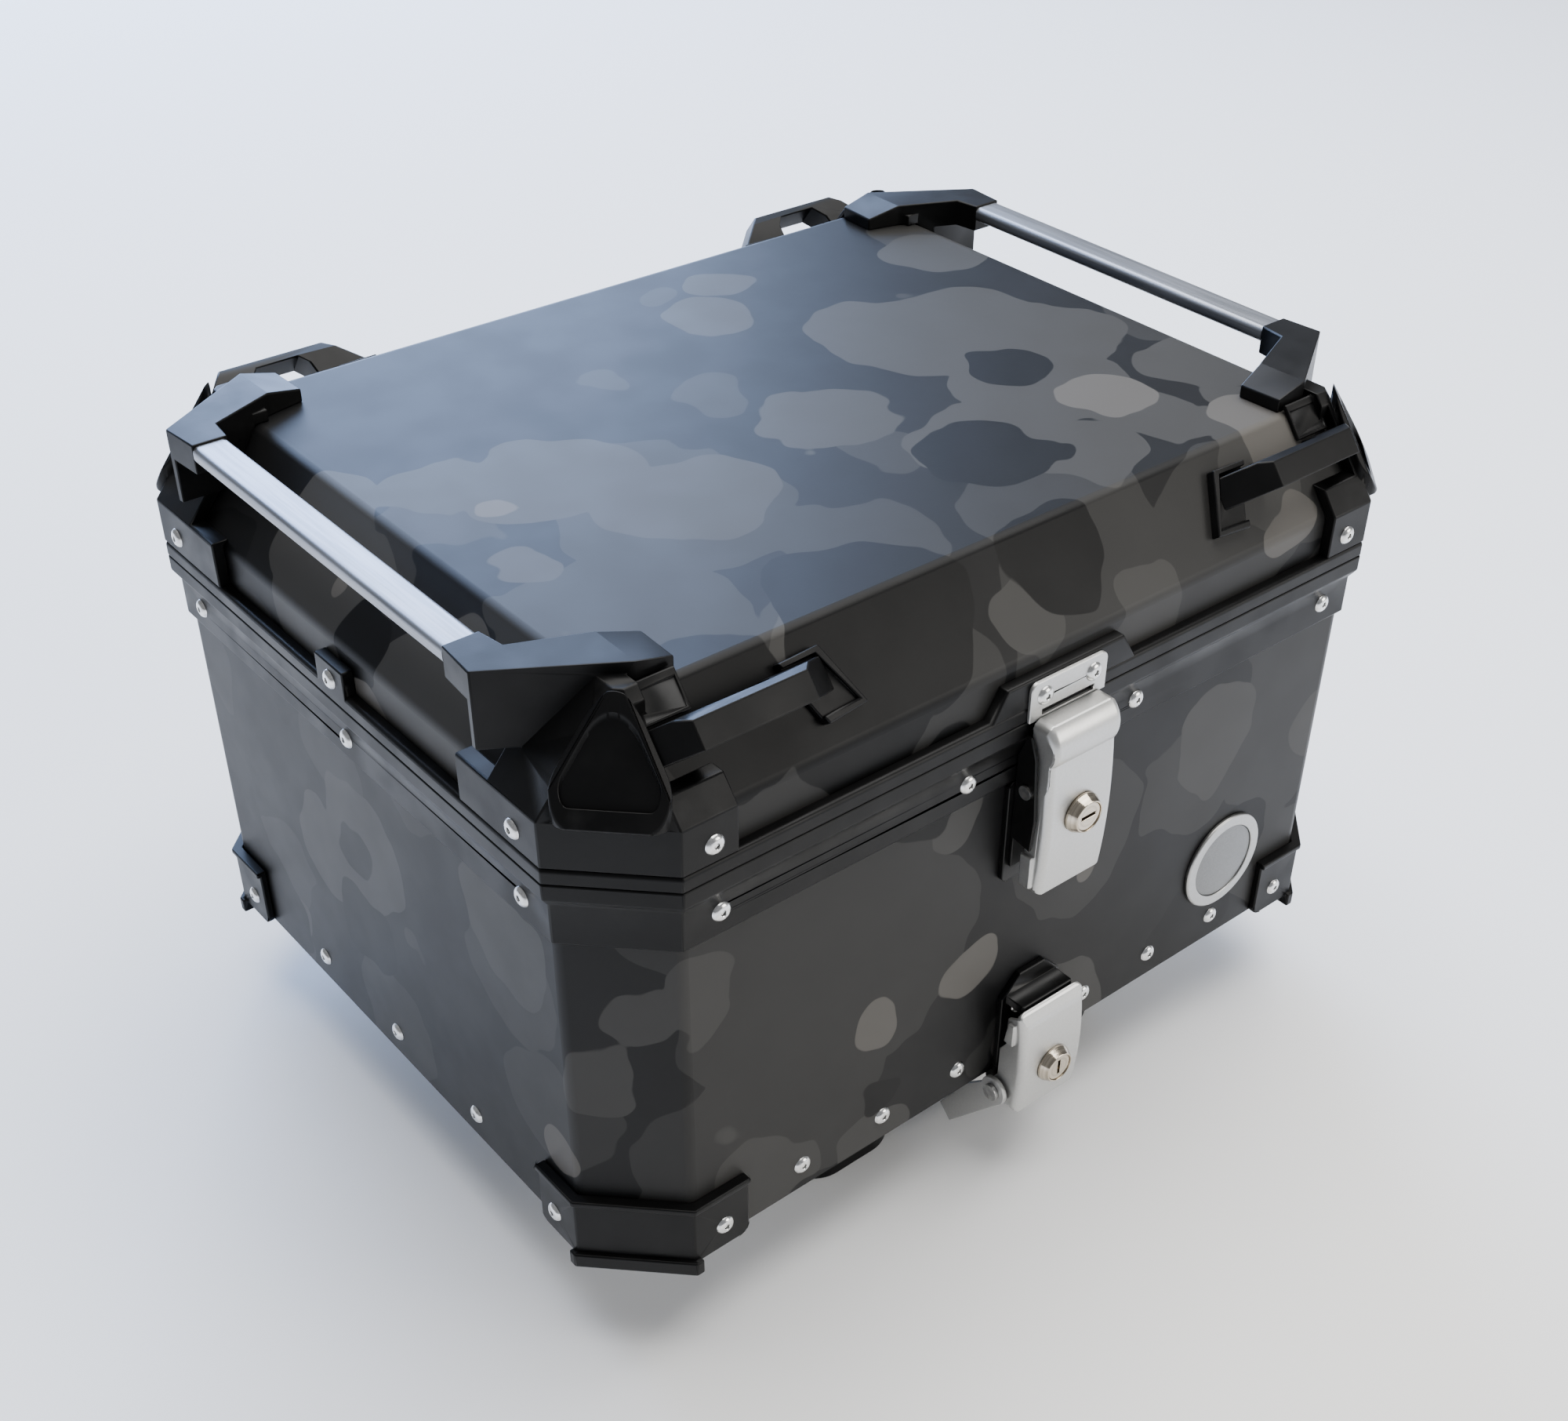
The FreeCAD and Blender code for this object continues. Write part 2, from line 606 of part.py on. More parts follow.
def make_latch_backplate():
    """Black plate between the wall and the latch bracket."""
    plate = front_slab(
        [(0, PAD_BASE_Z), (PAD_T, PAD_BASE_Z), (PAD_T, PAD_TOP_Z), (0, PAD_TOP_Z)], -PAD_HALF, PAD_HALF)
    corners = [e for e in plate.Edges if e.BoundBox.YLength > PAD_T / 2]
    return one_solid(plate.makeFillet(PAD_T, corners).cut(drills(BRACKET_SITES)))


def make_latch_bracket():
    """Folded bracket: a web on the backplate and two cheeks that carry the rocker."""
    web_p = PAD_T + BRACKET_T
    web = front_slab(
        [(PAD_T, BRACKET_BASE_Z), (web_p, BRACKET_BASE_Z), (web_p, BRACKET_TOP_Z), (PAD_T, BRACKET_TOP_Z)],
        -BRACKET_OUTER, BRACKET_OUTER)
    cheek_line = [
        (PAD_T, BODY_Z + 152.0), (15.0, BODY_Z + 150.0), (16.5, BODY_Z + 168.0), (14.0, BODY_Z + 200.0),
        (10.5, BODY_Z + 210.0), (6.8, BODY_Z + 210.0), (6.8, BODY_Z + 206.0), (PAD_T, BODY_Z + 197.0)]
    bracket = web
    for x0 in (-BRACKET_OUTER, BRACKET_OUTER - BRACKET_T):
        bracket = bracket.fuse(front_slab(cheek_line, x0, x0 + BRACKET_T))
    bore = cross_bar(ROCKER_PIN_R, ROCKER_P, ROCKER_Z, -PAD_HALF, PAD_HALF)
    return one_solid(bracket.cut(bore).cut(drills(BRACKET_SITES)))


def make_latch_pivot_pin():
    """Pin through both cheeks with a flat head on each end."""
    pin = cross_bar(ROCKER_PIN_R, ROCKER_P, ROCKER_Z, -BRACKET_OUTER, BRACKET_OUTER)
    for side in (-1, 1):
        x0, x1 = sorted((side * BRACKET_OUTER, side * (BRACKET_OUTER + ROCKER_HEAD_H)))
        pin = pin.fuse(cross_bar(ROCKER_HEAD_R, ROCKER_P, ROCKER_Z, x0, x1))
    return one_solid(pin)


def make_latch_spring():
    """Torsion spring round the pin with one leg down the bracket web and one out to the cover."""
    length = SPRING_PITCH * SPRING_TURNS
    helix = Part.makeHelix(SPRING_PITCH, length, SPRING_R)
    profile = Part.Wire(Part.makeCircle(SPRING_WIRE_R, Vec(SPRING_R, 0, 0), Vec(0, 1, 0)))
    coil = Part.Wire(helix).makePipeShell([profile], True, True)
    leg_down = Part.makeCylinder(SPRING_WIRE_R, SPRING_LEG, Vec(SPRING_R, 0, 0), Vec(0, -1, 0))
    leg_out = Part.makeCylinder(SPRING_WIRE_R, SPRING_SHORT_LEG, Vec(0, SPRING_R, length), Vec(-1, 0, 0))
    spring = coil.fuse([leg_down, leg_out])
    turn = FreeCAD.Rotation(Vec(0, 1, 0), 90).multiply(FreeCAD.Rotation(Vec(0, 0, 1), 90))
    spring.Placement = FreeCAD.Placement(front(ROCKER_P, ROCKER_Z, -length / 2), turn)
    return one_solid(spring)


def make_latch_cover():
    """Pillow-shaped rocker cover, hollow behind, with a rolled lip at the top and an ear on each side."""
    lip_p = RIDGE_PROUD + KEEPER_T + LIP_GAP
    lip_z = BODY_Z + 217.5
    outer = arched_slab(
        (19.8, BODY_Z + 125.0), (22.2, BODY_Z + 160.0), (20.0, BODY_Z + 203.0),
        [(lip_p, BODY_Z + 203.0), (6.6, BODY_Z + 190.0), (6.6, BODY_Z + 172.0), (9.4, BODY_Z + 150.0),
         (12.0, BODY_Z + 125.0)],
        -LATCH_HALF, LATCH_HALF)
    roll = arched_slab(
        (19.4, BODY_Z + 196.0), (22.8, BODY_Z + 209.0), (17.0, lip_z),
        [(lip_p, lip_z), (lip_p, BODY_Z + 196.0)],
        -LATCH_HALF, LATCH_HALF)
    outer = outer.makeFillet(COVER_EDGE, side_edges(outer, LATCH_HALF, 16.0))
    outer = outer.fuse(roll.makeFillet(COVER_EDGE, side_edges(roll, LATCH_HALF, 16.0)))
    outer = outer.common(cover_outline(LATCH_HALF, BODY_Z + 125.0, lip_z, COVER_CORNER, COVER_WAIST))
    hollow = arched_slab(
        (17.8, BODY_Z + 127.0), (20.2, BODY_Z + 160.0), (18.2, BODY_Z + 200.0),
        [(18.0, BODY_Z + 212.0), (16.0, BODY_Z + 215.2), (lip_p + LATCH_WALL, BODY_Z + 215.2),
         (lip_p + LATCH_WALL, BODY_Z + 206.0), (0.0, BODY_Z + 200.0), (0.0, BODY_Z + 127.0)],
        -LATCH_HALF + LATCH_WALL, LATCH_HALF - LATCH_WALL)
    cover = outer.cut(hollow)
    for side in (-1, 1):
        x0, x1 = sorted((side * (LATCH_HALF - OVERLAP), side * (LATCH_HALF + LATCH_WALL)))
        ear = front_slab(
            [(9.4, BODY_Z + 146.5), (10.0, BODY_Z + 129.0), (16.5, BODY_Z + 129.0), (16.5, BODY_Z + 146.5)], x0, x1)
        cover = cover.fuse(ear)
    cover = cover.cut(cross_bar(ROCKER_PIN_R + RUNNING_FIT, ROCKER_P, ROCKER_Z, -PAD_HALF, PAD_HALF))
    cover = cover.cut(Part.makeCylinder(LOCK_BARREL_R, 40.0, front(0, UPPER_LOCK_Z), Vec(0, -1, 0)))
    return one_solid(cover)


def side_edges(shape, half, min_p):
    """Edges of a slab's two side faces that lie further out than min_p."""
    found = []
    for edge in shape.Edges:
        on_side = edge.BoundBox.XLength < 0.01 and abs(abs(edge.CenterOfMass.x) - half) < 0.01
        if on_side and -edge.BoundBox.YMax - BODY_HALF_Y > min_p:
            found.append(edge)
    return found


def lock_piece(outline, z):
    """Turned piece from a (radius, p) outline, standing on the front at height z."""
    points = [Vec(r, 0, p) for r, p in outline]
    turned = Part.Face(Part.makePolygon(points + [points[0]])).revolve(Vec(0, 0, 0), Vec(0, 0, 1), 360)
    return placed(turned, front(0, z), Vec(0, -1, 0))


def lock_barrel(z):
    """Lock barrel with a bevelled ring outside the cover."""
    outline = [
        (LOCK_BORE_R, LOCK_BACK), (LOCK_BARREL_R, LOCK_BACK), (LOCK_BARREL_R, LOCK_RING_IN),
        (LOCK_RING_R, LOCK_RING_IN), (LOCK_RING_R, LOCK_RING_OUT - LOCK_CONE_H),
        (LOCK_CONE_R, LOCK_RING_OUT), (LOCK_BORE_R, LOCK_RING_OUT)]
    return one_solid(lock_piece(outline, z))


def lock_plug(z, keyway_level):
    """Plug that turns in the barrel, with a keyway in its face."""
    outline = [(0.0, LOCK_BACK), (LOCK_PLUG_R, LOCK_BACK), (LOCK_PLUG_R, LOCK_FACE), (0.0, LOCK_FACE)]
    half_x, half_z = (KEYWAY_W / 2, KEYWAY_H / 2) if keyway_level else (KEYWAY_H / 2, KEYWAY_W / 2)
    y0 = -(BODY_HALF_Y + LOCK_FACE + OVERLAP)
    slot = box(-half_x, half_x, y0, y0 + KEYWAY_DEPTH + OVERLAP, z - half_z, z + half_z)
    return one_solid(lock_piece(outline, z).cut(slot))


def lock_cam(z):
    """Cam plate on the back of the plug, pointing down."""
    y1 = -(BODY_HALF_Y + LOCK_BACK - CAM_T)
    y0 = y1 - CAM_T
    return one_solid(box(-CAM_W / 2, CAM_W / 2, y0, y1, z - CAM_L, z + CAM_W / 2))


def make_keeper_plate():
    """Keeper on the lid rim with the slot the latch lip takes hold of."""
    y1 = -(BODY_HALF_Y + RIDGE_PROUD)
    plate = box(-KEEPER_HALF, KEEPER_HALF, y1 - KEEPER_T, y1, LID_RIM_BASE_Z, KEEPER_TOP_Z)
    corners = [e for e in plate.Edges if e.BoundBox.YLength > KEEPER_T / 2 and e.CenterOfMass.z > KEEPER_RIVET_Z]
    plate = plate.makeFillet(2 * KEEPER_T, corners)
    slot = box(
        -KEEPER_SLOT_HALF, KEEPER_SLOT_HALF, y1 - 2 * KEEPER_T, y1 + KEEPER_T,
        KEEPER_SLOT_Z, KEEPER_SLOT_Z + KEEPER_SLOT_H)
    return one_solid(plate.cut(slot).cut(drills(KEEPER_SITES)))


def make_rack_latch_housing():
    """Black housing on the front wall: tapered backplate, head, foot under the case and pivot cheeks."""
    line = [(-HOUSING_HALF, HOUSING_BASE_Z), (-HOUSING_HALF, HOUSING_SHOULDER_Z), (-HOUSING_TOP_HALF, HOUSING_TOP_Z)]
    line += [(-x, z) for x, z in reversed(line)]
    back = upright_block(line, -BODY_HALF_Y - HOUSING_T, HOUSING_T)
    head = front_slab(
        [(0, HOUSING_HEAD_Z), (HOUSING_HEAD_P, HOUSING_HEAD_Z), (HOUSING_HEAD_P, HOUSING_HEAD_TOP_Z),
         (0, HOUSING_HEAD_TOP_Z)],
        -HOUSING_HEAD_HALF, HOUSING_HEAD_HALF)
    ends = [e for e in head.Edges if e.BoundBox.ZLength > OVERLAP and e.CenterOfMass.y < front(HOUSING_T, 0).y]
    housing = back.fuse(head.makeFillet(HOUSING_EDGE, ends)).removeSplitter()
    stem = front_slab(
        [(-FOOT_BACK, BODY_Z - FOOT_T), (HOUSING_T, BODY_Z - FOOT_T), (HOUSING_T, HOUSING_BASE_Z + OVERLAP),
         (0, HOUSING_BASE_Z + OVERLAP), (0, BODY_Z), (-FOOT_BACK, BODY_Z)], -CHEEK_OUTER, CHEEK_OUTER)
    housing = housing.fuse(stem)
    for side in (-1, 1):
        x0, x1 = sorted((side * CHEEK_INNER, side * CHEEK_OUTER))
        cheek = cross_bar(CHEEK_R, LEVER_P, LEVER_Z, x0, x1)
        arm = front_slab(
            [(LEVER_P - CHEEK_R, LEVER_Z), (LEVER_P + CHEEK_R, LEVER_Z), (HOUSING_T, BODY_Z), (-CHEEK_R, BODY_Z)],
            x0, x1)
        housing = housing.fuse(cheek).fuse(arm)
    bore = cross_bar(LEVER_PIN_R, LEVER_P, LEVER_Z, -HOUSING_HALF, HOUSING_HALF)
    return one_solid(housing.cut(bore).cut(drills(HOUSING_SITES)))


def make_rack_latch_pin():
    """Pin that carries the rack lever."""
    pin = cross_bar(LEVER_PIN_R, LEVER_P, LEVER_Z, -LATCH_HALF - RUNNING_FIT, LATCH_HALF + RUNNING_FIT)
    for side in (-1, 1):
        x0, x1 = sorted((side * (LATCH_HALF + FIT), side * (LATCH_HALF + FIT + LEVER_HEAD_H)))
        neck0, neck1 = sorted((side * LATCH_HALF, side * (LATCH_HALF + FIT)))
        pin = pin.fuse(cross_bar(LEVER_PIN_R, LEVER_P, LEVER_Z, neck0, neck1))
        pin = pin.fuse(cross_bar(LEVER_HEAD_R, LEVER_P, LEVER_Z, x0, x1))
    return one_solid(pin)


def make_rack_lever_cover():
    """Lever of the rack latch, hollow behind, with side walls down to its pivot."""
    outer = arched_slab(
        (20.0, BODY_Z - 16.0), (22.5, BODY_Z + 12.0), (20.3, BODY_Z + 42.5),
        [(17.8, BODY_Z + 47.2), (16.6, BODY_Z + 48.6), (LEVER_TOP_P, BODY_Z + 48.6), (LEVER_TOP_P, BODY_Z + 46.0),
         (10.0, BODY_Z + 43.0), (10.0, BODY_Z + 26.0),
         (6.0, BODY_Z + 20.0), (6.0, BODY_Z + 2.5), (-2.0, BODY_Z - 10.0), (-2.0, BODY_Z - 16.0)],
        -LATCH_HALF, LATCH_HALF)
    outer = outer.makeFillet(COVER_EDGE, side_edges(outer, LATCH_HALF, 19.0))
    outer = outer.common(cover_outline(LATCH_HALF, BODY_Z - 16.0, BODY_Z + 48.6, COVER_CORNER))
    outer = outer.fuse(cross_bar(LEVER_LOBE_R, LEVER_P, LEVER_Z, -LATCH_HALF, LATCH_HALF))
    hollow = arched_slab(
        (18.0, BODY_Z - 14.0), (20.5, BODY_Z + 12.0), (18.4, BODY_Z + 42.0),
        [(16.6, BODY_Z + 46.6), (-10.0, BODY_Z + 46.6), (-10.0, BODY_Z - 25.0), (8.0, BODY_Z - 25.0),
         (8.0, BODY_Z - 14.0)],
        -LEVER_INNER, LEVER_INNER)
    cover = outer.cut(hollow)
    for side in (-1, 1):
        x0, x1 = sorted((side * (LATCH_HALF - OVERLAP), side * (LATCH_HALF + LATCH_WALL)))
        ear = front_slab(
            [(10.0, BODY_Z + 29.0), (16.0, BODY_Z + 29.0), (16.0, BODY_Z + 42.0), (12.0, BODY_Z + 42.0)], x0, x1)
        cover = cover.fuse(ear)
    for p, z, radius in ((LEVER_P, LEVER_Z, LEVER_PIN_R + RUNNING_FIT), (CLAW_P, CLAW_Z, CLAW_PIN_R)):
        cover = cover.cut(cross_bar(radius, p, z, -BORE_HALF, BORE_HALF))
    cover = cover.cut(Part.makeCylinder(LOCK_BARREL_R, 40.0, front(0, LOWER_LOCK_Z), Vec(0, -1, 0)))
    return one_solid(cover)


def make_claw_pins():
    """Shoulder pins on the lever's side walls that carry the claw."""
    pins = []
    for side in (-1, 1):
        stem0, stem1 = sorted((side * LEVER_INNER, side * (CLAW_OUTER + FIT)))
        head0, head1 = sorted((side * (CLAW_OUTER + FIT), side * (CLAW_OUTER + FIT + CLAW_HEAD_H)))
        pin = cross_bar(CLAW_PIN_R, CLAW_P, CLAW_Z, stem0, stem1)
        pins.append(pin.fuse(cross_bar(CLAW_HEAD_R, CLAW_P, CLAW_Z, head0, head1)).removeSplitter())
    return Part.makeCompound(pins)


def make_rack_claw():
    """Claw: two arms from the lever pins down under the case, joined by a hooked bar at the tip."""
    arm_line = [
        (7.0, BODY_Z + 1.5), (-11.5, BODY_Z - 15.5), (-28.5, BODY_Z - 42.0), (-20.6, BODY_Z - 49.5),
        (12.0, BODY_Z - 12.6)]
    bar_line = [
        (-21.5, BODY_Z - 31.0), (-28.5, BODY_Z - 42.0), (-20.6, BODY_Z - 49.5), (-15.5, BODY_Z - 43.7),
        (-20.5, BODY_Z - 38.5)]
    claw = front_slab(bar_line, -CLAW_OUTER, CLAW_OUTER)
    for x0 in (-CLAW_OUTER, CLAW_INNER):
        arm = front_slab(arm_line, x0, x0 + CLAW_OUTER - CLAW_INNER)
        eye = cross_bar(CLAW_END_R, CLAW_P, CLAW_Z, x0, x0 + CLAW_OUTER - CLAW_INNER)
        claw = claw.fuse(arm).fuse(eye)
    bore = cross_bar(CLAW_PIN_R + RUNNING_FIT, CLAW_P, CLAW_Z, -BORE_HALF, BORE_HALF)
    return one_solid(claw.cut(bore))


def back_slab(points, x0, x1):
    """Slab across the back of the case from a side outline of (p, z) points."""
    outline = [Vec(x0, BODY_HALF_Y + p, z) for p, z in points]
    return Part.Face(Part.makePolygon(outline + [outline[0]])).extrude(Vec(x1 - x0, 0, 0))


def knuckle_span(index):
    """Distances from a hinge's middle at which one knuckle starts and ends."""
    width = 2 * HINGE_HALF / KNUCKLE_SEGMENTS
    start = -HINGE_HALF + index * width
    return start + FIT / 2, start + width - FIT / 2


def hinge_bar(radius, x0, x1):
    """Round bar along the hinge line."""
    return Part.makeCylinder(radius, x1 - x0, Vec(x0, BODY_HALF_Y + HINGE_P, HINGE_Z), Vec(1, 0, 0))


def hinge_leaf(centre, outline, own, sites):
    """Leaf with its own knuckles; the other leaf's knuckles turn in its gaps."""
    leaf = back_slab(outline, centre - HINGE_HALF, centre + HINGE_HALF)
    for index in range(KNUCKLE_SEGMENTS):
        x0, x1 = knuckle_span(index)
        if index % 2 == own:
            leaf = leaf.fuse(hinge_bar(KNUCKLE_R, centre + x0, centre + x1))
        else:
            leaf = leaf.cut(hinge_bar(KNUCKLE_CLEAR_R, centre + x0 - FIT, centre + x1 + FIT))
    leaf = leaf.cut(drills(sites))
    return one_solid(leaf.cut(hinge_bar(HINGE_PIN_R + RUNNING_FIT, centre - HINGE_HALF, centre + HINGE_HALF)))


def make_hinge_body_leaves():
    """Hinge leaves on the body rim."""
    outline = [
        (RIM_PROUD, BODY_Z + 186.0), (RIM_PROUD, RIM_FLARE_Z), (RIDGE_PROUD, RIM_RIDGE_Z),
        (RIDGE_PROUD, BODY_Z + 211.5), (HINGE_P - KNUCKLE_R, BODY_Z + 215.0), (HINGE_P, HINGE_Z),
        (HINGE_P + KNUCKLE_R - 0.4, BODY_Z + 214.5), (9.0, BODY_Z + 206.0), (BODY_LEAF_P, BODY_Z + 200.0),
        (BODY_LEAF_P, BODY_Z + 186.0)]
    return Part.makeCompound([hinge_leaf(side * HINGE_X, outline, 0, HINGE_BODY_SITES) for side in (-1, 1)])


def make_hinge_lid_leaves():
    """Hinge leaves on the lid's skirt."""
    outline = [
        (0.0, LID_LIP_Z), (0.0, BODY_Z + 242.0), (LEAF_T, BODY_Z + 242.0), (LEAF_T, BODY_Z + 230.0),
        (HINGE_P - 0.5, BODY_Z + 224.0), (HINGE_P + KNUCKLE_R - 0.4, BODY_Z + 217.5), (HINGE_P, HINGE_Z),
        (HINGE_P - KNUCKLE_R + 0.2, BODY_Z + 217.5), (RIDGE_PROUD, BODY_Z + 219.0), (RIDGE_PROUD, LID_LIP_Z)]
    return Part.makeCompound([hinge_leaf(side * HINGE_X, outline, 1, HINGE_LID_SITES) for side in (-1, 1)])


def make_hinge_pins():
    """Hinge pins, one in each hinge."""
    return Part.makeCompound([
        hinge_bar(HINGE_PIN_R, side * HINGE_X - HINGE_HALF, side * HINGE_X + HINGE_HALF) for side in (-1, 1)])


def make_lid_shell():
    """Pressed lid sheet: skirt, four slopes, four corner facets and a flat top."""
    inner = body_prism(-SHEET, LID_RIM_BASE_Z - OVERLAP, LID_CREASE_Z)
    inset = SHEET * 1.3
    roof_top = octagon(LID_TOP_HALF_X - inset / 3, LID_TOP_HALF_Y - inset / 3, LID_TOP_LEG, LID_TOP_Z - SHEET)
    roof = Part.makeLoft([body_wire(-SHEET, LID_CREASE_Z - OVERLAP / 2), roof_top], True, True)
    shell = lid_form(0).cut([inner, roof])
    shell = shell.cut(body_prism(OVERLAP, LID_RIM_BASE_Z - OVERLAP, LID_CHANNEL_Z))
    screws = [Part.makeCylinder(CORNER_SCREW_R, 4 * SHEET, at) for at in corner_screw_points(LID_TOP_Z - 2 * SHEET)]
    sites = CASTING_SITES + TAB_SITES + KEEPER_SITES + HINGE_LID_SITES
    return one_solid(shell.cut(drills(sites)).cut(Part.makeCompound(screws)))


def make_lid_rim():
    """Moulded lid rim: rounded lip, channel for the sheet, riser behind the keeper and two side tabs."""
    lip = body_prism(RIDGE_PROUD, LID_RIM_BASE_Z, LID_LIP_Z)
    top_edges = [e for e in lip.Edges if abs(e.BoundBox.ZMin - LID_LIP_Z) < 0.01]
    lip = lip.makeFillet(LIP_ROUND, top_edges)
    leg = body_prism(-SHEET, LID_CHANNEL_Z, LID_LEG_TOP_Z)
    riser_line = [(-RISER_FOOT_HALF, LID_LIP_Z - OVERLAP), (-RISER_HALF, RISER_TOP_Z)]
    riser_line += [(-x, z) for x, z in reversed(riser_line)]
    riser = upright_block(riser_line, -BODY_HALF_Y - RIDGE_PROUD, RIDGE_PROUD)
    rim = lip.fuse([leg, riser.makeFillet(LIP_ROUND * 0.6, outer_edges(riser, -BODY_HALF_Y - RIDGE_PROUD))])
    for side in (-1, 1):
        x0, x1 = sorted((side * BODY_HALF_X, side * (BODY_HALF_X + RIDGE_PROUD)))
        rim = rim.fuse(box(x0, x1, -TAB_HALF, TAB_HALF, LID_RIM_BASE_Z + OVERLAP, TAB_TOP_Z))
    slot = body_ring(0, -SHEET, LID_CHANNEL_Z, LID_CREASE_Z)
    inside = body_prism(-SHEET - RIM_LEG, LID_RIM_BASE_Z - OVERLAP, LID_CREASE_Z)
    groove = body_ring(SEAL_OUTER, SEAL_INNER, LID_RIM_BASE_Z - OVERLAP, LID_RIM_BASE_Z + SEAL_DEPTH)
    rim = rim.cut([slot, inside, groove])
    return one_solid(rim.cut(drills(TAB_SITES + KEEPER_SITES + CASTING_SITES + HINGE_LID_SITES)))


def upright_block(line, y0, depth):
    """Block from an (x, z) outline, extruded towards +Y."""
    outline = [Vec(x, y0, z) for x, z in line]
    return Part.Face(Part.makePolygon(outline + [outline[0]])).extrude(Vec(0, depth, 0))


def outer_edges(shape, y):
    """Edges of a block that lie in its outer face, bottom edge left out."""
    found = []
    for edge in shape.Edges:
        in_face = abs(edge.BoundBox.YMin - y) < 0.01 and edge.BoundBox.YLength < 0.01
        if in_face and edge.CenterOfMass.z > shape.BoundBox.ZMin + 0.01:
            found.append(edge)
    return found


def make_lid_seal():
    """Rubber seal in the groove under the lid rim."""
    return one_solid(body_ring(SEAL_OUTER, SEAL_INNER, LID_RIM_BASE_Z, LID_RIM_BASE_Z + SEAL_DEPTH))


def slope_frame():
    """Placement of the front slope: local X along the case, Y up the slope, Z out of it."""
    run = BODY_HALF_Y - LID_TOP_HALF_Y
    rise = LID_TOP_Z - LID_CREASE_Z
    angle = math.degrees(math.atan2(rise, run))
    return FreeCAD.Placement(Vec(0, -BODY_HALF_Y, LID_CREASE_Z), FreeCAD.Rotation(Vec(1, 0, 0), angle))


def slope_slab(points, n0, n1):
    """Slab on the front slope from an outline of (x, distance up the slope) points."""
    outline = [Vec(x, up, n0) for x, up in points]
    slab = Part.Face(Part.makePolygon(outline + [outline[0]])).extrude(Vec(0, 0, n1 - n0))
    slab.Placement = slope_frame()
    return slab


def make_loop_arm():
    """Tie-down arm: a bar that stands off the front slope and ramps down onto a lipped foot plate."""
    top = LOOP_GAP + LOOP_T
    line = [
        (-206.0, 0.0), (-206.0, 8.5), (-194.5, top), (-138.5, top), (-118.5, 3.2), (-117.0, 0.0),
        (-148.5, 0.0), (-150.5, LOOP_GAP - 4.0), (-154.0, LOOP_GAP), (-177.0, LOOP_GAP),
        (-183.0, LOOP_GAP - 7.0), (-184.0, 0.0)]
    outline = [Vec(x, LOOP_LOW, n) for x, n in line]
    arm = Part.Face(Part.makePolygon(outline + [outline[0]])).extrude(Vec(0, LOOP_HIGH - LOOP_LOW, 0))
    section = [(LOOP_HIGH, LOOP_GAP), (LOOP_HIGH - LOOP_BEVEL, top), (LOOP_HIGH + LOOP_BEVEL, top)]
    bevel = [Vec(-210.0, up, n) for up, n in section]
    arm = arm.cut(Part.Face(Part.makePolygon(bevel + [bevel[0]])).extrude(Vec(100.0, 0, 0)))
    arm.Placement = slope_frame()
    plate = [(-139.5, 41.5), (-118.5, 42.3), (-106.5, 13.2), (-127.5, 11.3)]
    inner = [
        (-145.0, 41.5 - LOOP_LIP_W), (-118.5 - LOOP_LIP_W, 42.3 - LOOP_LIP_W),
        (-106.5 - 1.2 * LOOP_LIP_W, 13.2 + LOOP_LIP_W), (-145.0, 11.3 + LOOP_LIP_W)]
    lip = slope_slab(plate, 0.0, LOOP_LIP_H).cut(slope_slab(inner, LOOP_PLATE_T, LOOP_LIP_H + OVERLAP))
    return arm.fuse(lip)


def upright_edges(block):
    """Long edges of a block that stand upright, the one nearest to the case's middle last."""
    found = [e for e in block.Edges if e.BoundBox.ZLength > CASTING_T]
    found = [e for e in found if e.BoundBox.XLength + e.BoundBox.YLength < 0.01]
    return sorted(found, key=lambda e: e.CenterOfMass.x + e.CenterOfMass.y)


def corner_triangle(inset):
    """Upright cutter over the corner facet, shrunk by inset, with rounded corners."""
    apex_x = BODY_HALF_X - CORNER_LEG + inset
    apex_y = BODY_HALF_Y - CORNER_LEG + OVERLAP + inset
    reach = BODY_HALF_X + BODY_HALF_Y - CORNER_LEG + (PLATE_T - inset) * math.sqrt(2.0)
    points = [(-apex_x, -apex_y), (apex_y - reach, -apex_y), (-apex_x, apex_x - reach)]
    block = plan_slab(points, PLATE_BASE_Z + inset, POST_TOP_Z)
    block = block.makeFillet(PLATE_ROUND - inset, upright_edges(block)[:-1])
    return block.makeFillet(PLATE_APEX_ROUND - inset, upright_edges(block)[-1:])


def make_post():
    """Rail post: an arm that holds the rail's end, standing on a column over the corner."""
    outline = [
        (-231, -105), (-248, -105), (-250, -127), (-197, -160), (-179, -160), (-178, -137), (-196, -133),
        (-229, -119)]
    arm = plan_slab(outline, POST_UNDER_Z, POST_TOP_Z)
    column = plan_slab(outline, COLUMN_BASE_Z, POST_TOP_Z).common(
        corner_region(0.0, COLUMN_Y, COLUMN_BASE_Z, POST_TOP_Z))
    facet = upright_block([(-197, POST_TOP_Z), (-170, POST_TOP_Z), (-170, POST_LOW_Z - 2.0)], -170.0, 45.0)
    return arm.fuse(column).cut(facet)


def make_upper_pad():
    """Framed pad on the front slope beside the corner plate."""
    x0, x1, low, high = -203.0, -181.0, 39.0, 57.0
    rim = UPPER_PAD_RIM
    pad = slope_slab([(x0, low), (x1, low), (x1, high), (x0, high)], 0.0, UPPER_PAD_T)
    window = [(x0 + rim, low + rim), (x1 - rim, low + rim), (x1 - rim, 54.5 - rim), (x0 + rim, 54.5 - rim)]
    return pad.cut(slope_slab(window, UPPER_PAD_T - UPPER_PAD_RECESS, UPPER_PAD_T + OVERLAP))


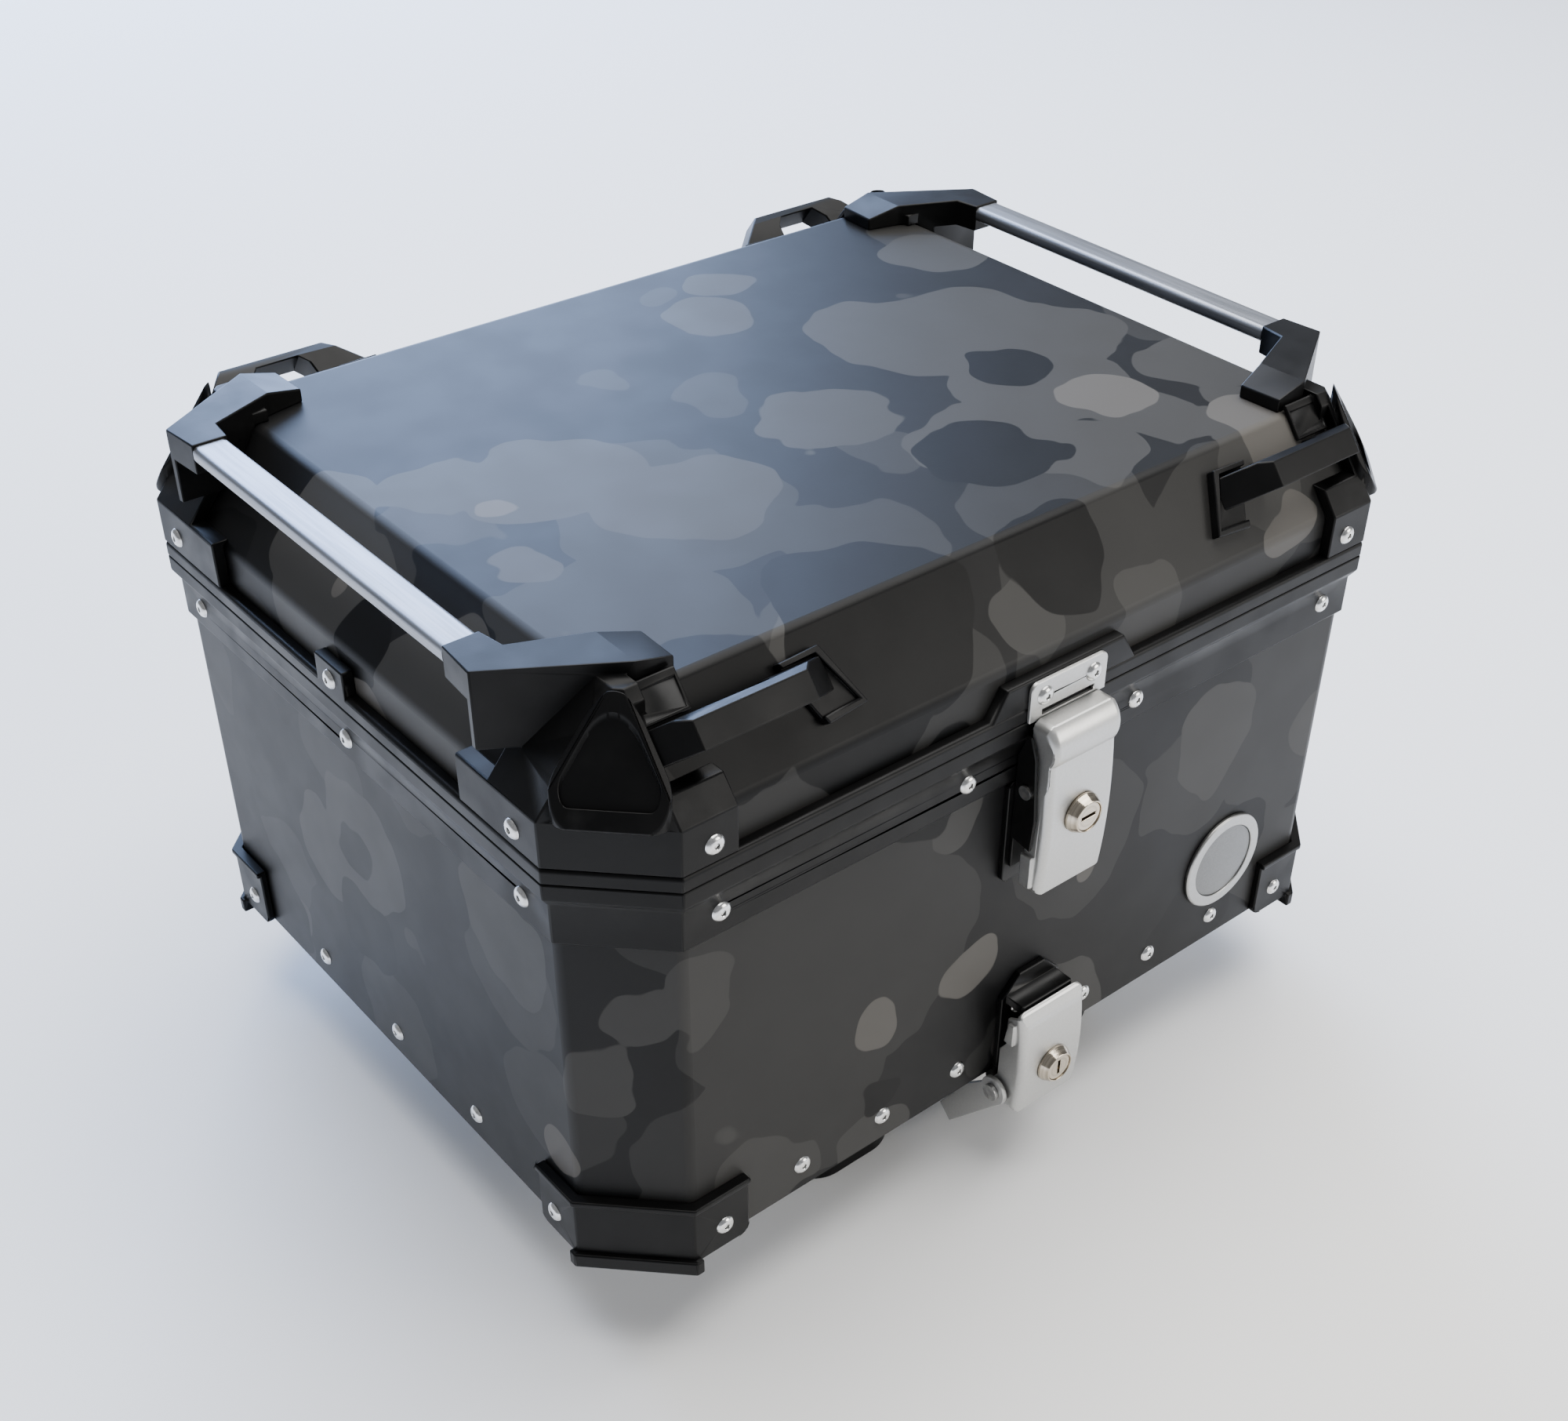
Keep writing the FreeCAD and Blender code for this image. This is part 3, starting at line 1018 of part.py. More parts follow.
def make_lid_corner():
    """Corner casting of the lid: flank, corner plate, rail post and tie-down arm in one piece."""
    skin = lid_form(CASTING_T).cut(lid_form(0))
    flank = skin.common(corner_region(CASTING_END_X, CASTING_END_Y, LID_LIP_Z, FLANK_TOP_Z))
    pads = skin.common(box(-207.0, -CASTING_END_X, -220.0, -158.0, LID_LIP_Z, LOWER_PAD_Z))
    pads = pads.fuse(skin.common(box(-262.0, -200.0, -170.0, -SIDE_SKIN_Y, FLANK_TOP_Z - 4.0, POST_LOW_Z)))
    behind = skin.common(plan_slab(
        [(-262, -157), (-205, -214), (-205, -152), (-208, -150)], BODY_Z + 240.0, POST_LOW_Z))
    plate = lid_form(PLATE_T).cut(lid_form(0)).common(corner_triangle(0.0))
    sunk = lid_form(2 * PLATE_T).cut(lid_form(PLATE_T - PLATE_RECESS))
    recess = sunk.common(corner_triangle(PLATE_RIM))
    casting = flank.fuse([pads, behind, plate, make_upper_pad(), make_post(), make_loop_arm()])
    screw = Part.makeCylinder(
        CORNER_SCREW_R, CORNER_SCREW_DEPTH + SHEET, Vec(-CORNER_SCREW_X, -CORNER_SCREW_Y, LID_TOP_Z - SHEET))
    casting = casting.cut([lid_form(0), rail_tongue(-1), screw, drills(CASTING_SITES), recess])
    return one_solid(casting)


def rail_tongue(end):
    """Tongue at one end of the left rail."""
    y0, y1 = sorted((end * RAIL_END_Y, end * (RAIL_END_Y + TONGUE_L)))
    z1 = RAIL_TOP_Z - (RAIL_T - TONGUE_T) / 2
    return box(-RAIL_OUTER_X + TONGUE_INSET, -RAIL_INNER_X - TONGUE_INSET, y0, y1, z1 - TONGUE_T, z1)


def make_rail():
    """Flat bar with rounded edges and a tongue at each end."""
    bar = box(-RAIL_OUTER_X, -RAIL_INNER_X, -RAIL_END_Y, RAIL_END_Y, RAIL_TOP_Z - RAIL_T, RAIL_TOP_Z)
    long_edges = [e for e in bar.Edges if e.BoundBox.YLength > RAIL_END_Y]
    bar = bar.makeFillet(RAIL_ROUND, long_edges)
    return one_solid(bar.fuse([rail_tongue(-1), rail_tongue(1)]))


def corner_screw_points(z):
    """Where the screws of the corner castings pass through the lid top."""
    return [Vec(sx * CORNER_SCREW_X, sy * CORNER_SCREW_Y, z) for sx in (-1, 1) for sy in (-1, 1)]


def make_corner_screws():
    """Screws from inside the lid up into the corner castings."""
    made = []
    for at in corner_screw_points(LID_TOP_Z - SHEET):
        shank = Part.makeCylinder(CORNER_SCREW_R, CORNER_SCREW_DEPTH + SHEET, at)
        head = Part.makeCylinder(CORNER_SCREW_HEAD_R, CORNER_SCREW_HEAD_H, at - Vec(0, 0, CORNER_SCREW_HEAD_H))
        made.append(shank.fuse(head).removeSplitter())
    return Part.makeCompound(made)


def save(name, shape):
    """Write one piece to its STEP file."""
    shape.exportStep(os.path.join("parts", name + ".step"))


os.makedirs("parts", exist_ok=True)
save("body_shell", make_body_shell())
save("bottom_panel", make_bottom_panel())
save("body_rim", make_body_rim())
save("bottom_rivets", rivets(BOTTOM_SITES, 0, 2 * SHEET))
save("band_rivets", rivets(BAND_SITES, RIM_PROUD, RIM_PROUD + SHEET + RIM_LEG))
save("protector_rivets", rivets(PROTECTOR_SITES, PROTECTOR_T, PROTECTOR_T + 2 * SHEET))
PROTECTOR = make_protector()
CASTING = make_lid_corner()
for place, flip_x, flip_y in (("front_left", 0, 0), ("front_right", 1, 0), ("back_left", 0, 1), ("back_right", 1, 1)):
    save("protector_" + place, mirrored(PROTECTOR, flip_x, flip_y))
    save("lid_corner_" + place, mirrored(CASTING, flip_x, flip_y))
save("mounting_base", make_mounting_base())
save("rack_inserts", make_rack_inserts())
save("base_screws", make_base_screws())
save("emblem_ring", make_emblem_ring())
save("emblem_disc", make_emblem_disc())
save("latch_backplate", make_latch_backplate())
save("latch_bracket", make_latch_bracket())
save("latch_bracket_rivets", rivets(BRACKET_SITES, PAD_T + BRACKET_T, PAD_T + BRACKET_T + SHEET))
save("latch_pivot_pin", make_latch_pivot_pin())
save("latch_spring", make_latch_spring())
save("latch_cover", make_latch_cover())
save("latch_lock_barrel", lock_barrel(UPPER_LOCK_Z))
save("latch_lock_plug", lock_plug(UPPER_LOCK_Z, True))
save("latch_lock_cam", lock_cam(UPPER_LOCK_Z))
save("keeper_plate", make_keeper_plate())
save("keeper_rivets", rivets(KEEPER_SITES, RIDGE_PROUD + KEEPER_T, RIDGE_PROUD + KEEPER_T + SHEET + RIM_LEG))
save("rack_latch_housing", make_rack_latch_housing())
save("rack_latch_rivets", rivets(HOUSING_SITES, HOUSING_T, HOUSING_T + SHEET))
save("rack_latch_pin", make_rack_latch_pin())
save("rack_lever_cover", make_rack_lever_cover())
save("rack_claw_pins", make_claw_pins())
save("rack_lock_barrel", lock_barrel(LOWER_LOCK_Z))
save("rack_lock_plug", lock_plug(LOWER_LOCK_Z, False))
save("rack_lock_cam", lock_cam(LOWER_LOCK_Z))
save("rack_claw", make_rack_claw())
save("hinge_body_leaves", make_hinge_body_leaves())
save("hinge_lid_leaves", make_hinge_lid_leaves())
save("hinge_pins", make_hinge_pins())
save("hinge_body_rivets", rivets(HINGE_BODY_SITES, BODY_LEAF_P, BODY_LEAF_P + SHEET + RIM_LEG))
save("hinge_lid_rivets", rivets(HINGE_LID_SITES, LEAF_T, LEAF_T + SHEET + RIM_LEG))
save("lid_shell", make_lid_shell())
save("lid_rim", make_lid_rim())
save("lid_seal", make_lid_seal())
save("lid_corner_rivets", rivets(CASTING_SITES, CASTING_T, CASTING_T + SHEET + RIM_LEG))
save("lid_tab_rivets", rivets(TAB_SITES, RIDGE_PROUD, RIDGE_PROUD + SHEET + RIM_LEG))
RAIL = make_rail()
save("rail_left", RAIL)
save("rail_right", mirrored(RAIL, 1, 0))
save("corner_screws", make_corner_screws())
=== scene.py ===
"""Looks of an aluminium motorcycle top case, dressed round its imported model."""

import json
import logging
import math
from dataclasses import dataclass
from enum import Enum
from typing import Any

import bmesh
import bpy
from mathutils import Matrix, Vector

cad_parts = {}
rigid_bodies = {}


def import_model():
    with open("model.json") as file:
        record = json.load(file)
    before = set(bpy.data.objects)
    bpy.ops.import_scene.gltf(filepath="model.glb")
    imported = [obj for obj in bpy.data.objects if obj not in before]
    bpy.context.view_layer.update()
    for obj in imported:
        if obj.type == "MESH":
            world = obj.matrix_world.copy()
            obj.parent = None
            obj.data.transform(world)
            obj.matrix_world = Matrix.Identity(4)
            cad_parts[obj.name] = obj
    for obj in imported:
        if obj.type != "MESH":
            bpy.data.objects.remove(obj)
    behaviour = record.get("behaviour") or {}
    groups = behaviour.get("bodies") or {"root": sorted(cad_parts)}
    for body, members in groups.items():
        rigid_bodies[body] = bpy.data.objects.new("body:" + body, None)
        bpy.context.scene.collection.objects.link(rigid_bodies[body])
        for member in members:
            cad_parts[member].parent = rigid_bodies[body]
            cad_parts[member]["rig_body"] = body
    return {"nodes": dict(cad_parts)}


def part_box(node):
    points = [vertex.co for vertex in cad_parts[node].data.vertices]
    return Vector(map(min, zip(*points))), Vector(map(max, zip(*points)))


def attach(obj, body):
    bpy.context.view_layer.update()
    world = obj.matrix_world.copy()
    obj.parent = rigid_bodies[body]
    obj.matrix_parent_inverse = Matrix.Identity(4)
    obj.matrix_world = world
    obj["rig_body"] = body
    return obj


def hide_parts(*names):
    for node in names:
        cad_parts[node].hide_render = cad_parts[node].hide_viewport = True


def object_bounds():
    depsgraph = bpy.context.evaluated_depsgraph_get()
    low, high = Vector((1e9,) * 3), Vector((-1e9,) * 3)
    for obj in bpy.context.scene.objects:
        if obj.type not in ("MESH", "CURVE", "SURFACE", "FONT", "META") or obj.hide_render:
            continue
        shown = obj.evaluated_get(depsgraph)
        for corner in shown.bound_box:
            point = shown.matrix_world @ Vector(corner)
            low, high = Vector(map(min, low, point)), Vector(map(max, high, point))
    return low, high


MM = 0.001
MERGE_GAP = 2e-6
FLAT_ANGLE = 0.6
EDGE_ANGLE = 32.0
EDGE_STEPS = 2
TURNED_ANGLE = 40.0
LOG = logging.getLogger("top_case")
Span = tuple[float, float]
Colour = tuple[float, float, float]
Place = tuple[float, float, float]

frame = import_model()
CAD_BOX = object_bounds()


class Graph:
    """Writes nodes and links into one node tree."""

    def __init__(self, tree: bpy.types.NodeTree) -> None:
        """Keeps the tree that the nodes go into."""
        self.tree = tree

    def add(self, kind: str, values: dict[Any, Any] | None = None, **settings: Any) -> bpy.types.Node:
        """Adds one node.

        Args:
            kind: The node's type name.
            values: A value or an output socket for each input, by name or place.
            **settings: Plain properties of the node.

        Returns:
            The new node.
        """
        node = self.tree.nodes.new(kind)
        for key, value in settings.items():
            setattr(node, key, value)
        for key, value in (values or {}).items():
            self.feed(node.inputs[key], value)
        return node

    def feed(self, socket: bpy.types.NodeSocket, value: Any) -> None:
        """Gives an input a link or a value.

        Args:
            socket: The input.
            value: An output socket, or the input's own value.
        """
        if isinstance(value, bpy.types.NodeSocket):
            self.tree.links.new(value, socket)
        else:
            socket.default_value = value

    def math(self, operation: str, first: Any, second: Any = 0.0) -> bpy.types.NodeSocket:
        """Adds one sum.

        Args:
            operation: The Math node's operation.
            first: Its first number or socket.
            second: Its second number or socket.

        Returns:
            The socket that holds the result.
        """
        kind = "ShaderNodeMath"
        return self.add(kind, {0: first, 1: second}, operation=operation).outputs[0]

    def remap(self, value: Any, low: Any, high: Any, to_low: float = 0.0, to_high: float = 1.0) -> Any:
        """Maps a value smoothly from one range to another.

        Args:
            value: The socket to map.
            low: Start of the old range.
            high: End of the old range.
            to_low: Start of the new range.
            to_high: End of the new range.

        Returns:
            The socket that holds the result.
        """
        values = {"Value": value, "From Min": low, "From Max": high, "To Min": to_low, "To Max": to_high}
        return self.add("ShaderNodeMapRange", values, interpolation_type="SMOOTHSTEP").outputs[0]

    def noise(self, place: Any, scale: float, detail: float) -> bpy.types.Node:
        """Adds a cloud of noise.

        Args:
            place: The coordinates that the cloud follows.
            scale: Its scale.
            detail: Its number of finer layers.

        Returns:
            The noise node.
        """
        return self.add("ShaderNodeTexNoise", {"Vector": place, "Scale": scale, "Detail": detail})

    def vector(self, operation: str, values: dict[Any, Any]) -> bpy.types.NodeSocket:
        """Adds one sum of vectors.

        Args:
            operation: The Vector Math node's operation.
            values: Its inputs.

        Returns:
            The socket that holds the resulting vector.
        """
        return self.add("ShaderNodeVectorMath", values, operation=operation).outputs["Vector"]

    def mix(self, share: Any, first: Any, second: Any) -> bpy.types.NodeSocket:
        """Mixes two colours.

        Args:
            share: How much of the second colour shows.
            first: The colour below.
            second: The colour above.

        Returns:
            The socket that holds the mix.
        """
        node = self.add("ShaderNodeMix", data_type="RGBA")
        for place, value in ((0, share), (6, first), (7, second)):
            self.feed(node.inputs[place], value)
        return node.outputs[2]


def rgba(colour: Colour) -> tuple[float, float, float, float]:
    """Returns a colour with full alpha."""
    return (*colour, 1.0)


@dataclass(frozen=True)
class Surface:
    """What every finish shares: its name, its grain and how a shader is begun."""

    name: str = "surface"
    roughness: float = 0.5
    roughness_swing: float = 0.06
    swing_scale: float = 35.0
    swing_detail: float = 3.0
    swing_range: Span = (0.3, 0.7)
    grain_scale: float = 1400.0
    grain_detail: float = 2.0
    grain_depth: float = 0.00004
    grain_strength: float = 0.3

    def begin(self) -> tuple[bpy.types.Material, Graph, bpy.types.Node, bpy.types.NodeSocket]:
        """Starts a material.

        Returns:
            The material, its graph, its Principled shader and its object coordinates.
        """
        material = bpy.data.materials.new(self.name)
        material.use_nodes = True
        material.node_tree.nodes.clear()
        graph = Graph(material.node_tree)
        shader = graph.add("ShaderNodeBsdfPrincipled")
        graph.add("ShaderNodeOutputMaterial", {"Surface": shader.outputs[0]})
        place = graph.add("ShaderNodeTexCoord").outputs["Object"]
        return material, graph, shader, place

    def texture(self, graph: Graph, shader: bpy.types.Node, place: bpy.types.NodeSocket) -> None:
        """Adds the grain's bump and the slow swing of the roughness.

        Args:
            graph: The material's graph.
            shader: Its Principled shader.
            place: The coordinates that the grain follows.
        """
        slow = graph.noise(place, self.swing_scale, self.swing_detail).outputs[0]
        low = self.roughness - self.roughness_swing
        high = self.roughness + self.roughness_swing
        graph.feed(shader.inputs["Roughness"], graph.remap(slow, *self.swing_range, low, high))
        grain = graph.noise(place, self.grain_scale, self.grain_detail).outputs[0]
        values = {"Height": grain, "Strength": self.grain_strength, "Distance": self.grain_depth}
        bump = graph.add("ShaderNodeBump", values)
        graph.feed(shader.inputs["Normal"], bump.outputs[0])


@dataclass(frozen=True)
class Patches:
    """One layer of a camouflage pattern: rounded lobes that run together where the pattern is dense."""

    tone: Colour
    scale: float
    reach: float
    spread: float
    cluster_scale: float
    shift: float
    smoothness: float = 0.05


@dataclass(frozen=True)
class CamoPaint(Surface):
    """Powder-coated sheet with layered rounded patches in greys."""

    ground: Colour = (0.0050, 0.0050, 0.0052)
    layers: tuple[Patches, ...] = (
        Patches((0.0200, 0.0196, 0.0188), 12.0, 0.50, 1.30, 3.4, 0.37),
        Patches((0.0360, 0.0350, 0.0330), 13.0, 0.30, 1.50, 4.2, 1.93),
        Patches((0.0012, 0.0012, 0.0013), 11.0, 0.24, 1.50, 3.7, 3.41),
        Patches((0.0800, 0.0750, 0.0680), 12.0, 0.10, 1.00, 5.5, 5.27),
    )
    warp_scale: float = 24.0
    warp_detail: float = 1.5
    warp: float = 0.030
    grey: Place = (0.5, 0.5, 0.5)
    drift: Place = (1.0, 0.7, 1.3)
    edge: float = 0.004
    specular: float = 0.15

    def build(self) -> bpy.types.Material:
        """Builds the paint.

        Returns:
            The material.
        """
        material, graph, shader, place = self.begin()
        bend = graph.noise(place, self.warp_scale, self.warp_detail).outputs["Color"]
        centred = graph.vector("SUBTRACT", {0: bend, 1: self.grey})
        pushed = graph.vector("SCALE", {0: centred, "Scale": self.warp})
        bent = graph.vector("ADD", {0: place, 1: pushed})
        colour: Any = rgba(self.ground)
        for layer in self.layers:
            colour = graph.mix(self.share(graph, bent, layer), colour, rgba(layer.tone))
        graph.feed(shader.inputs["Base Color"], colour)
        shader.inputs["Specular IOR Level"].default_value = self.specular
        self.texture(graph, shader, place)
        return material

    def share(self, graph: Graph, place: Any, layer: Patches) -> Any:
        """Adds one layer of patches.

        Args:
            graph: The material's graph.
            place: The bent coordinates.
            layer: The layer's sizes.

        Returns:
            The socket that is 1 inside a patch.
        """
        offset = tuple(layer.shift * part for part in self.drift)
        moved = graph.vector("ADD", {0: place, 1: offset})
        values = {"Vector": moved, "Scale": layer.scale, "Smoothness": layer.smoothness, "Randomness": 1.0}
        cells = graph.add("ShaderNodeTexVoronoi", values, feature="SMOOTH_F1")
        cloud = graph.noise(moved, layer.cluster_scale, 0.0).outputs[0]
        swing = graph.math("MULTIPLY", graph.math("SUBTRACT", cloud, self.grey[0]), layer.spread)
        reach = graph.math("ADD", swing, layer.reach)
        inside = graph.math("SUBTRACT", reach, cells.outputs["Distance"])
        return graph.remap(inside, -self.edge, self.edge)


@dataclass(frozen=True)
class Moulding(Surface):
    """Injection-moulded or rubbery black part with a fine grain, dust and paler convex edges, which are a
    painted edge highlight as well as wear.
    """

    colour: Colour = (0.0022, 0.0022, 0.0023)
    # Pale tone of the convex edges and the dust: on the edges it is a painted highlight as well as wear.
    edge_highlight_and_wear: Colour = (0.0070, 0.0070, 0.0072)
    wear_scale: float = 90.0
    wear_detail: float = 5.0
    highlight_edge_range: Span = (0.53, 0.62)
    wear_range: Span = (0.35, 0.65)
    dust_range: Span = (0.45, 0.85)
    dust: float = 0.25
    specular: float = 0.16

    def build(self) -> bpy.types.Material:
        """Builds the moulding's material.

        Returns:
            The material.
        """
        material, graph, shader, place = self.begin()
        cloud = graph.noise(place, self.wear_scale, self.wear_detail).outputs[0]
        # Convex edges, found by pointiness, are lightened: a painted edge highlight that also reads as wear;
        # the cloud breaks it up and lays down dust.
        edge = graph.add("ShaderNodeNewGeometry").outputs["Pointiness"]
        corners = graph.remap(edge, *self.highlight_edge_range)
        edge_highlight_and_wear = graph.math("MULTIPLY", corners, graph.remap(cloud, *self.wear_range))
        dust = graph.remap(cloud, *self.dust_range, 0.0, self.dust)
        share = graph.math("MAXIMUM", edge_highlight_and_wear, dust)
        graph.feed(shader.inputs["Base Color"], graph.mix(share, rgba(self.colour), rgba(self.edge_highlight_and_wear)))
        shader.inputs["Specular IOR Level"].default_value = self.specular
        self.texture(graph, shader, place)
        return material


@dataclass(frozen=True)
class Metal(Surface):
    """Metal or metallic paint with drawn streaks and small changes of tone."""

    colour: Colour = (0.55, 0.55, 0.54)
    shade: Colour = (0.42, 0.42, 0.42)
    metallic: float = 1.0
    stretch: Place = (1.0, 1.0, 1.0)
    streak_scale: float = 300.0
    streak_detail: float = 4.0
    streak_range: Span = (0.35, 0.68)

    def build(self) -> bpy.types.Material:
        """Builds the metal.

        Returns:
            The material.
        """
        material, graph, shader, place = self.begin()
        drawn = graph.add("ShaderNodeMapping", {"Vector": place, "Scale": self.stretch}).outputs[0]
        streaks = graph.noise(drawn, self.streak_scale, self.streak_detail).outputs[0]
        share = graph.remap(streaks, *self.streak_range)
        graph.feed(shader.inputs["Base Color"], graph.mix(share, rgba(self.colour), rgba(self.shade)))
        shader.inputs["Metallic"].default_value = self.metallic
        self.texture(graph, shader, drawn)
        return material


@dataclass(frozen=True)
class TurnedMetal(Surface):
    """Turned metal with fine rings round an axis that points to the front."""

    colour: Colour = (0.60, 0.53, 0.43)
    shade: Colour = (0.40, 0.35, 0.28)
    centre: Place = (0.0, 0.0, 0.0)
    across: Place = (1.0, 0.0, 1.0)
    ring_scale: float = 900.0
    ring_detail: float = 3.0
    ring_range: Span = (0.3, 0.7)

    def build(self) -> bpy.types.Material:
        """Builds the turned metal.

        Returns:
            The material.
        """
        material, graph, shader, place = self.begin()
        back = tuple(-value for value in self.centre)
        centred = graph.add("ShaderNodeMapping", {"Vector": place, "Location": back}).outputs[0]
        flat = graph.vector("MULTIPLY", {0: centred, 1: self.across})
        radius = graph.add("ShaderNodeVectorMath", {0: flat}, operation="LENGTH").outputs["Value"]
        outwards = graph.math("MULTIPLY", radius, self.ring_scale)
        values = {"W": outwards, "Scale": 1.0, "Detail": self.ring_detail}
        rings = graph.add("ShaderNodeTexNoise", values, noise_dimensions="1D").outputs[0]
        share = graph.remap(rings, *self.ring_range)
        graph.feed(shader.inputs["Base Color"], graph.mix(share, rgba(self.colour), rgba(self.shade)))
        shader.inputs["Metallic"].default_value = 1.0
        self.texture(graph, shader, centred)
        return material


class Finish(Enum):
    """The finishes of the case, by the name of the material slot each one stands for."""

    CAMO = "camo_paint"
    PLASTIC = "black_plastic"
    LATCH_BLACK = "latch_black"
    SATIN_SILVER = "satin_silver"
    STEEL = "steel"
    RIVET = "rivet_aluminium"
    NICKEL = "lock_nickel"
    BARE = "bare_aluminium"
    BADGE_SILVER = "badge_silver"
    BADGE_GREY = "badge_grey"
    RUBBER = "rubber"
    BRASS = "brass"


class Finishes:
    """The materials of the case, one for each finish."""

    def __init__(self) -> None:
        """Builds every finish once."""
        upper = middle("latch_lock_barrel")
        lower = middle("rack_lock_barrel")
        self.made = {
            Finish.CAMO: CamoPaint(
                "camo_powder_coat", roughness=0.42, roughness_swing=0.02, grain_scale=1500.0,
                grain_strength=0.35).build(),
            Finish.PLASTIC: Moulding("moulded_black", roughness=0.40, grain_strength=0.4).build(),
            Finish.LATCH_BLACK: Moulding(
                "latch_black_coat", roughness=0.33, colour=(0.0020, 0.0020, 0.0021), specular=0.2,
                grain_strength=0.2).build(),
            Finish.SATIN_SILVER: Metal(
                "satin_silver_paint", roughness=0.36, roughness_swing=0.02, colour=(0.52, 0.52, 0.51),
                shade=(0.49, 0.49, 0.48), metallic=0.8, streak_scale=900.0, grain_strength=0.15).build(),
            Finish.STEEL: Metal(
                "zinc_plated_steel", roughness=0.30, colour=(0.52, 0.52, 0.51),
                shade=(0.36, 0.36, 0.36)).build(),
            Finish.RIVET: Metal(
                "rivet_aluminium", roughness=0.24, colour=(0.78, 0.78, 0.77), shade=(0.62, 0.62, 0.61),
                streak_scale=700.0).build(),
            Finish.NICKEL: TurnedMetal("lock_nickel", roughness=0.15, centre=tuple(upper)).build(),
            Finish.BARE: Metal(
                "mill_aluminium", roughness=0.42, colour=(0.50, 0.51, 0.52), shade=(0.40, 0.41, 0.42),
                stretch=(1.0, 14.0, 14.0), streak_scale=60.0).build(),
            Finish.BADGE_SILVER: Metal(
                "badge_silver", roughness=0.34, roughness_swing=0.02, colour=(0.42, 0.42, 0.41),
                shade=(0.39, 0.39, 0.38), streak_scale=900.0).build(),
            Finish.BADGE_GREY: Metal(
                "badge_grey", roughness=0.38, roughness_swing=0.02, colour=(0.19, 0.193, 0.193),
                shade=(0.17, 0.173, 0.173), metallic=0.7, streak_scale=900.0).build(),
            Finish.RUBBER: Moulding(
                "seal_rubber", roughness=0.72, colour=(0.012, 0.012, 0.012), specular=0.3).build(),
            Finish.BRASS: Metal(
                "insert_brass", roughness=0.3, colour=(0.72, 0.50, 0.20), shade=(0.55, 0.36, 0.13)).build(),
        }
        self.drawn = Metal(
            "drawn_aluminium", roughness=0.40, roughness_swing=0.03, colour=(0.33, 0.34, 0.36),
            shade=(0.26, 0.27, 0.29), stretch=(8.0, 0.25, 8.0), streak_scale=90.0, grain_scale=260.0,
            grain_strength=0.25).build()
        self.lower_nickel = TurnedMetal("lower_lock_nickel", roughness=0.15, centre=tuple(lower)).build()

    def of(self, finish: Finish) -> bpy.types.Material:
        """Returns a finish's material."""
        return self.made[finish]


def middle(node: str) -> Vector:
    """Returns the middle of a node's box."""
    low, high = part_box(node)
    return (low + high) / 2


def new_object(name: str, mesh: bpy.types.Mesh) -> bpy.types.Object:
    """Puts a mesh in the scene.

    Args:
        name: The piece's name.
        mesh: Its mesh.

    Returns:
        The new object, at the origin.
    """
    made = bpy.data.objects.new(name, mesh)
    bpy.context.scene.collection.objects.link(made)
    return made


def apply_all(piece: bpy.types.Object) -> None:
    """Turns a piece's modifiers into plain mesh.

    Args:
        piece: The piece, whose modifiers are removed.
    """
    bpy.context.view_layer.update()
    seen = piece.evaluated_get(bpy.context.evaluated_depsgraph_get())
    mesh = bpy.data.meshes.new_from_object(seen)
    piece.modifiers.clear()
    piece.data = mesh


def merged_copy(node: str, name: str) -> bpy.types.Object:
    """Copies a node's mesh and joins its loose triangles into faces.

    Args:
        node: The node to copy.
        name: The new piece's name.

    Returns:
        The copy.
    """
    mesh = frame["nodes"][node].data.copy()
    mesh.name = name
    work = bmesh.new()
    work.from_mesh(mesh)
    bmesh.ops.remove_doubles(work, verts=work.verts, dist=MERGE_GAP)
    bmesh.ops.dissolve_limit(
        work, angle_limit=math.radians(FLAT_ANGLE), verts=work.verts, edges=work.edges,
        use_dissolve_boundaries=False)
    bmesh.ops.connect_verts_concave(work, faces=work.faces)
    work.to_mesh(mesh)
    work.free()
    mesh.materials.clear()
    return new_object(name, mesh)


def smooth_by_angle(piece: bpy.types.Object, degrees: float) -> None:
    """Shades a piece smoothly except across its sharp edges.

    Args:
        piece: The piece.
        degrees: Angle from which an edge is sharp.
    """
    piece.data.shade_smooth()
    piece.data.set_sharp_from_angle(angle=math.radians(degrees))


def mark_outward_edges(piece: bpy.types.Object) -> None:
    """Marks the edges that stick outwards, which are the ones to round.

    Args:
        piece: The piece.
    """
    work = bmesh.new()
    work.from_mesh(piece.data)
    weight = work.edges.layers.float.new("bevel_weight_edge")
    least = math.radians(EDGE_ANGLE)
    for edge in work.edges:
        if edge.is_manifold and edge.is_convex and edge.calc_face_angle() > least:
            edge[weight] = 1.0
    work.to_mesh(piece.data)
    work.free()


def flatten_and_apply(piece: bpy.types.Object) -> None:
    """Keeps flat faces flat beside their rounded edges, then applies a piece's modifiers.

    Args:
        piece: The piece.
    """
    weigh = piece.modifiers.new("flat_faces", "WEIGHTED_NORMAL")
    weigh.keep_sharp = True
    apply_all(piece)


def eased(node: str, name: str, width: float) -> bpy.types.Object:
    """Copies a node and rounds its outward edges.

    Args:
        node: The node to copy.
        name: The new piece's name.
        width: Width of the rounding.

    Returns:
        The finished copy.
    """
    piece = merged_copy(node, name)
    smooth_by_angle(piece, EDGE_ANGLE)
    mark_outward_edges(piece)
    bevel = piece.modifiers.new("rounding", "BEVEL")
    bevel.width = width
    bevel.segments = EDGE_STEPS
    bevel.limit_method = "WEIGHT"
    bevel.use_clamp_overlap = False
    bevel.miter_outer = "MITER_ARC"
    flatten_and_apply(piece)
    return piece


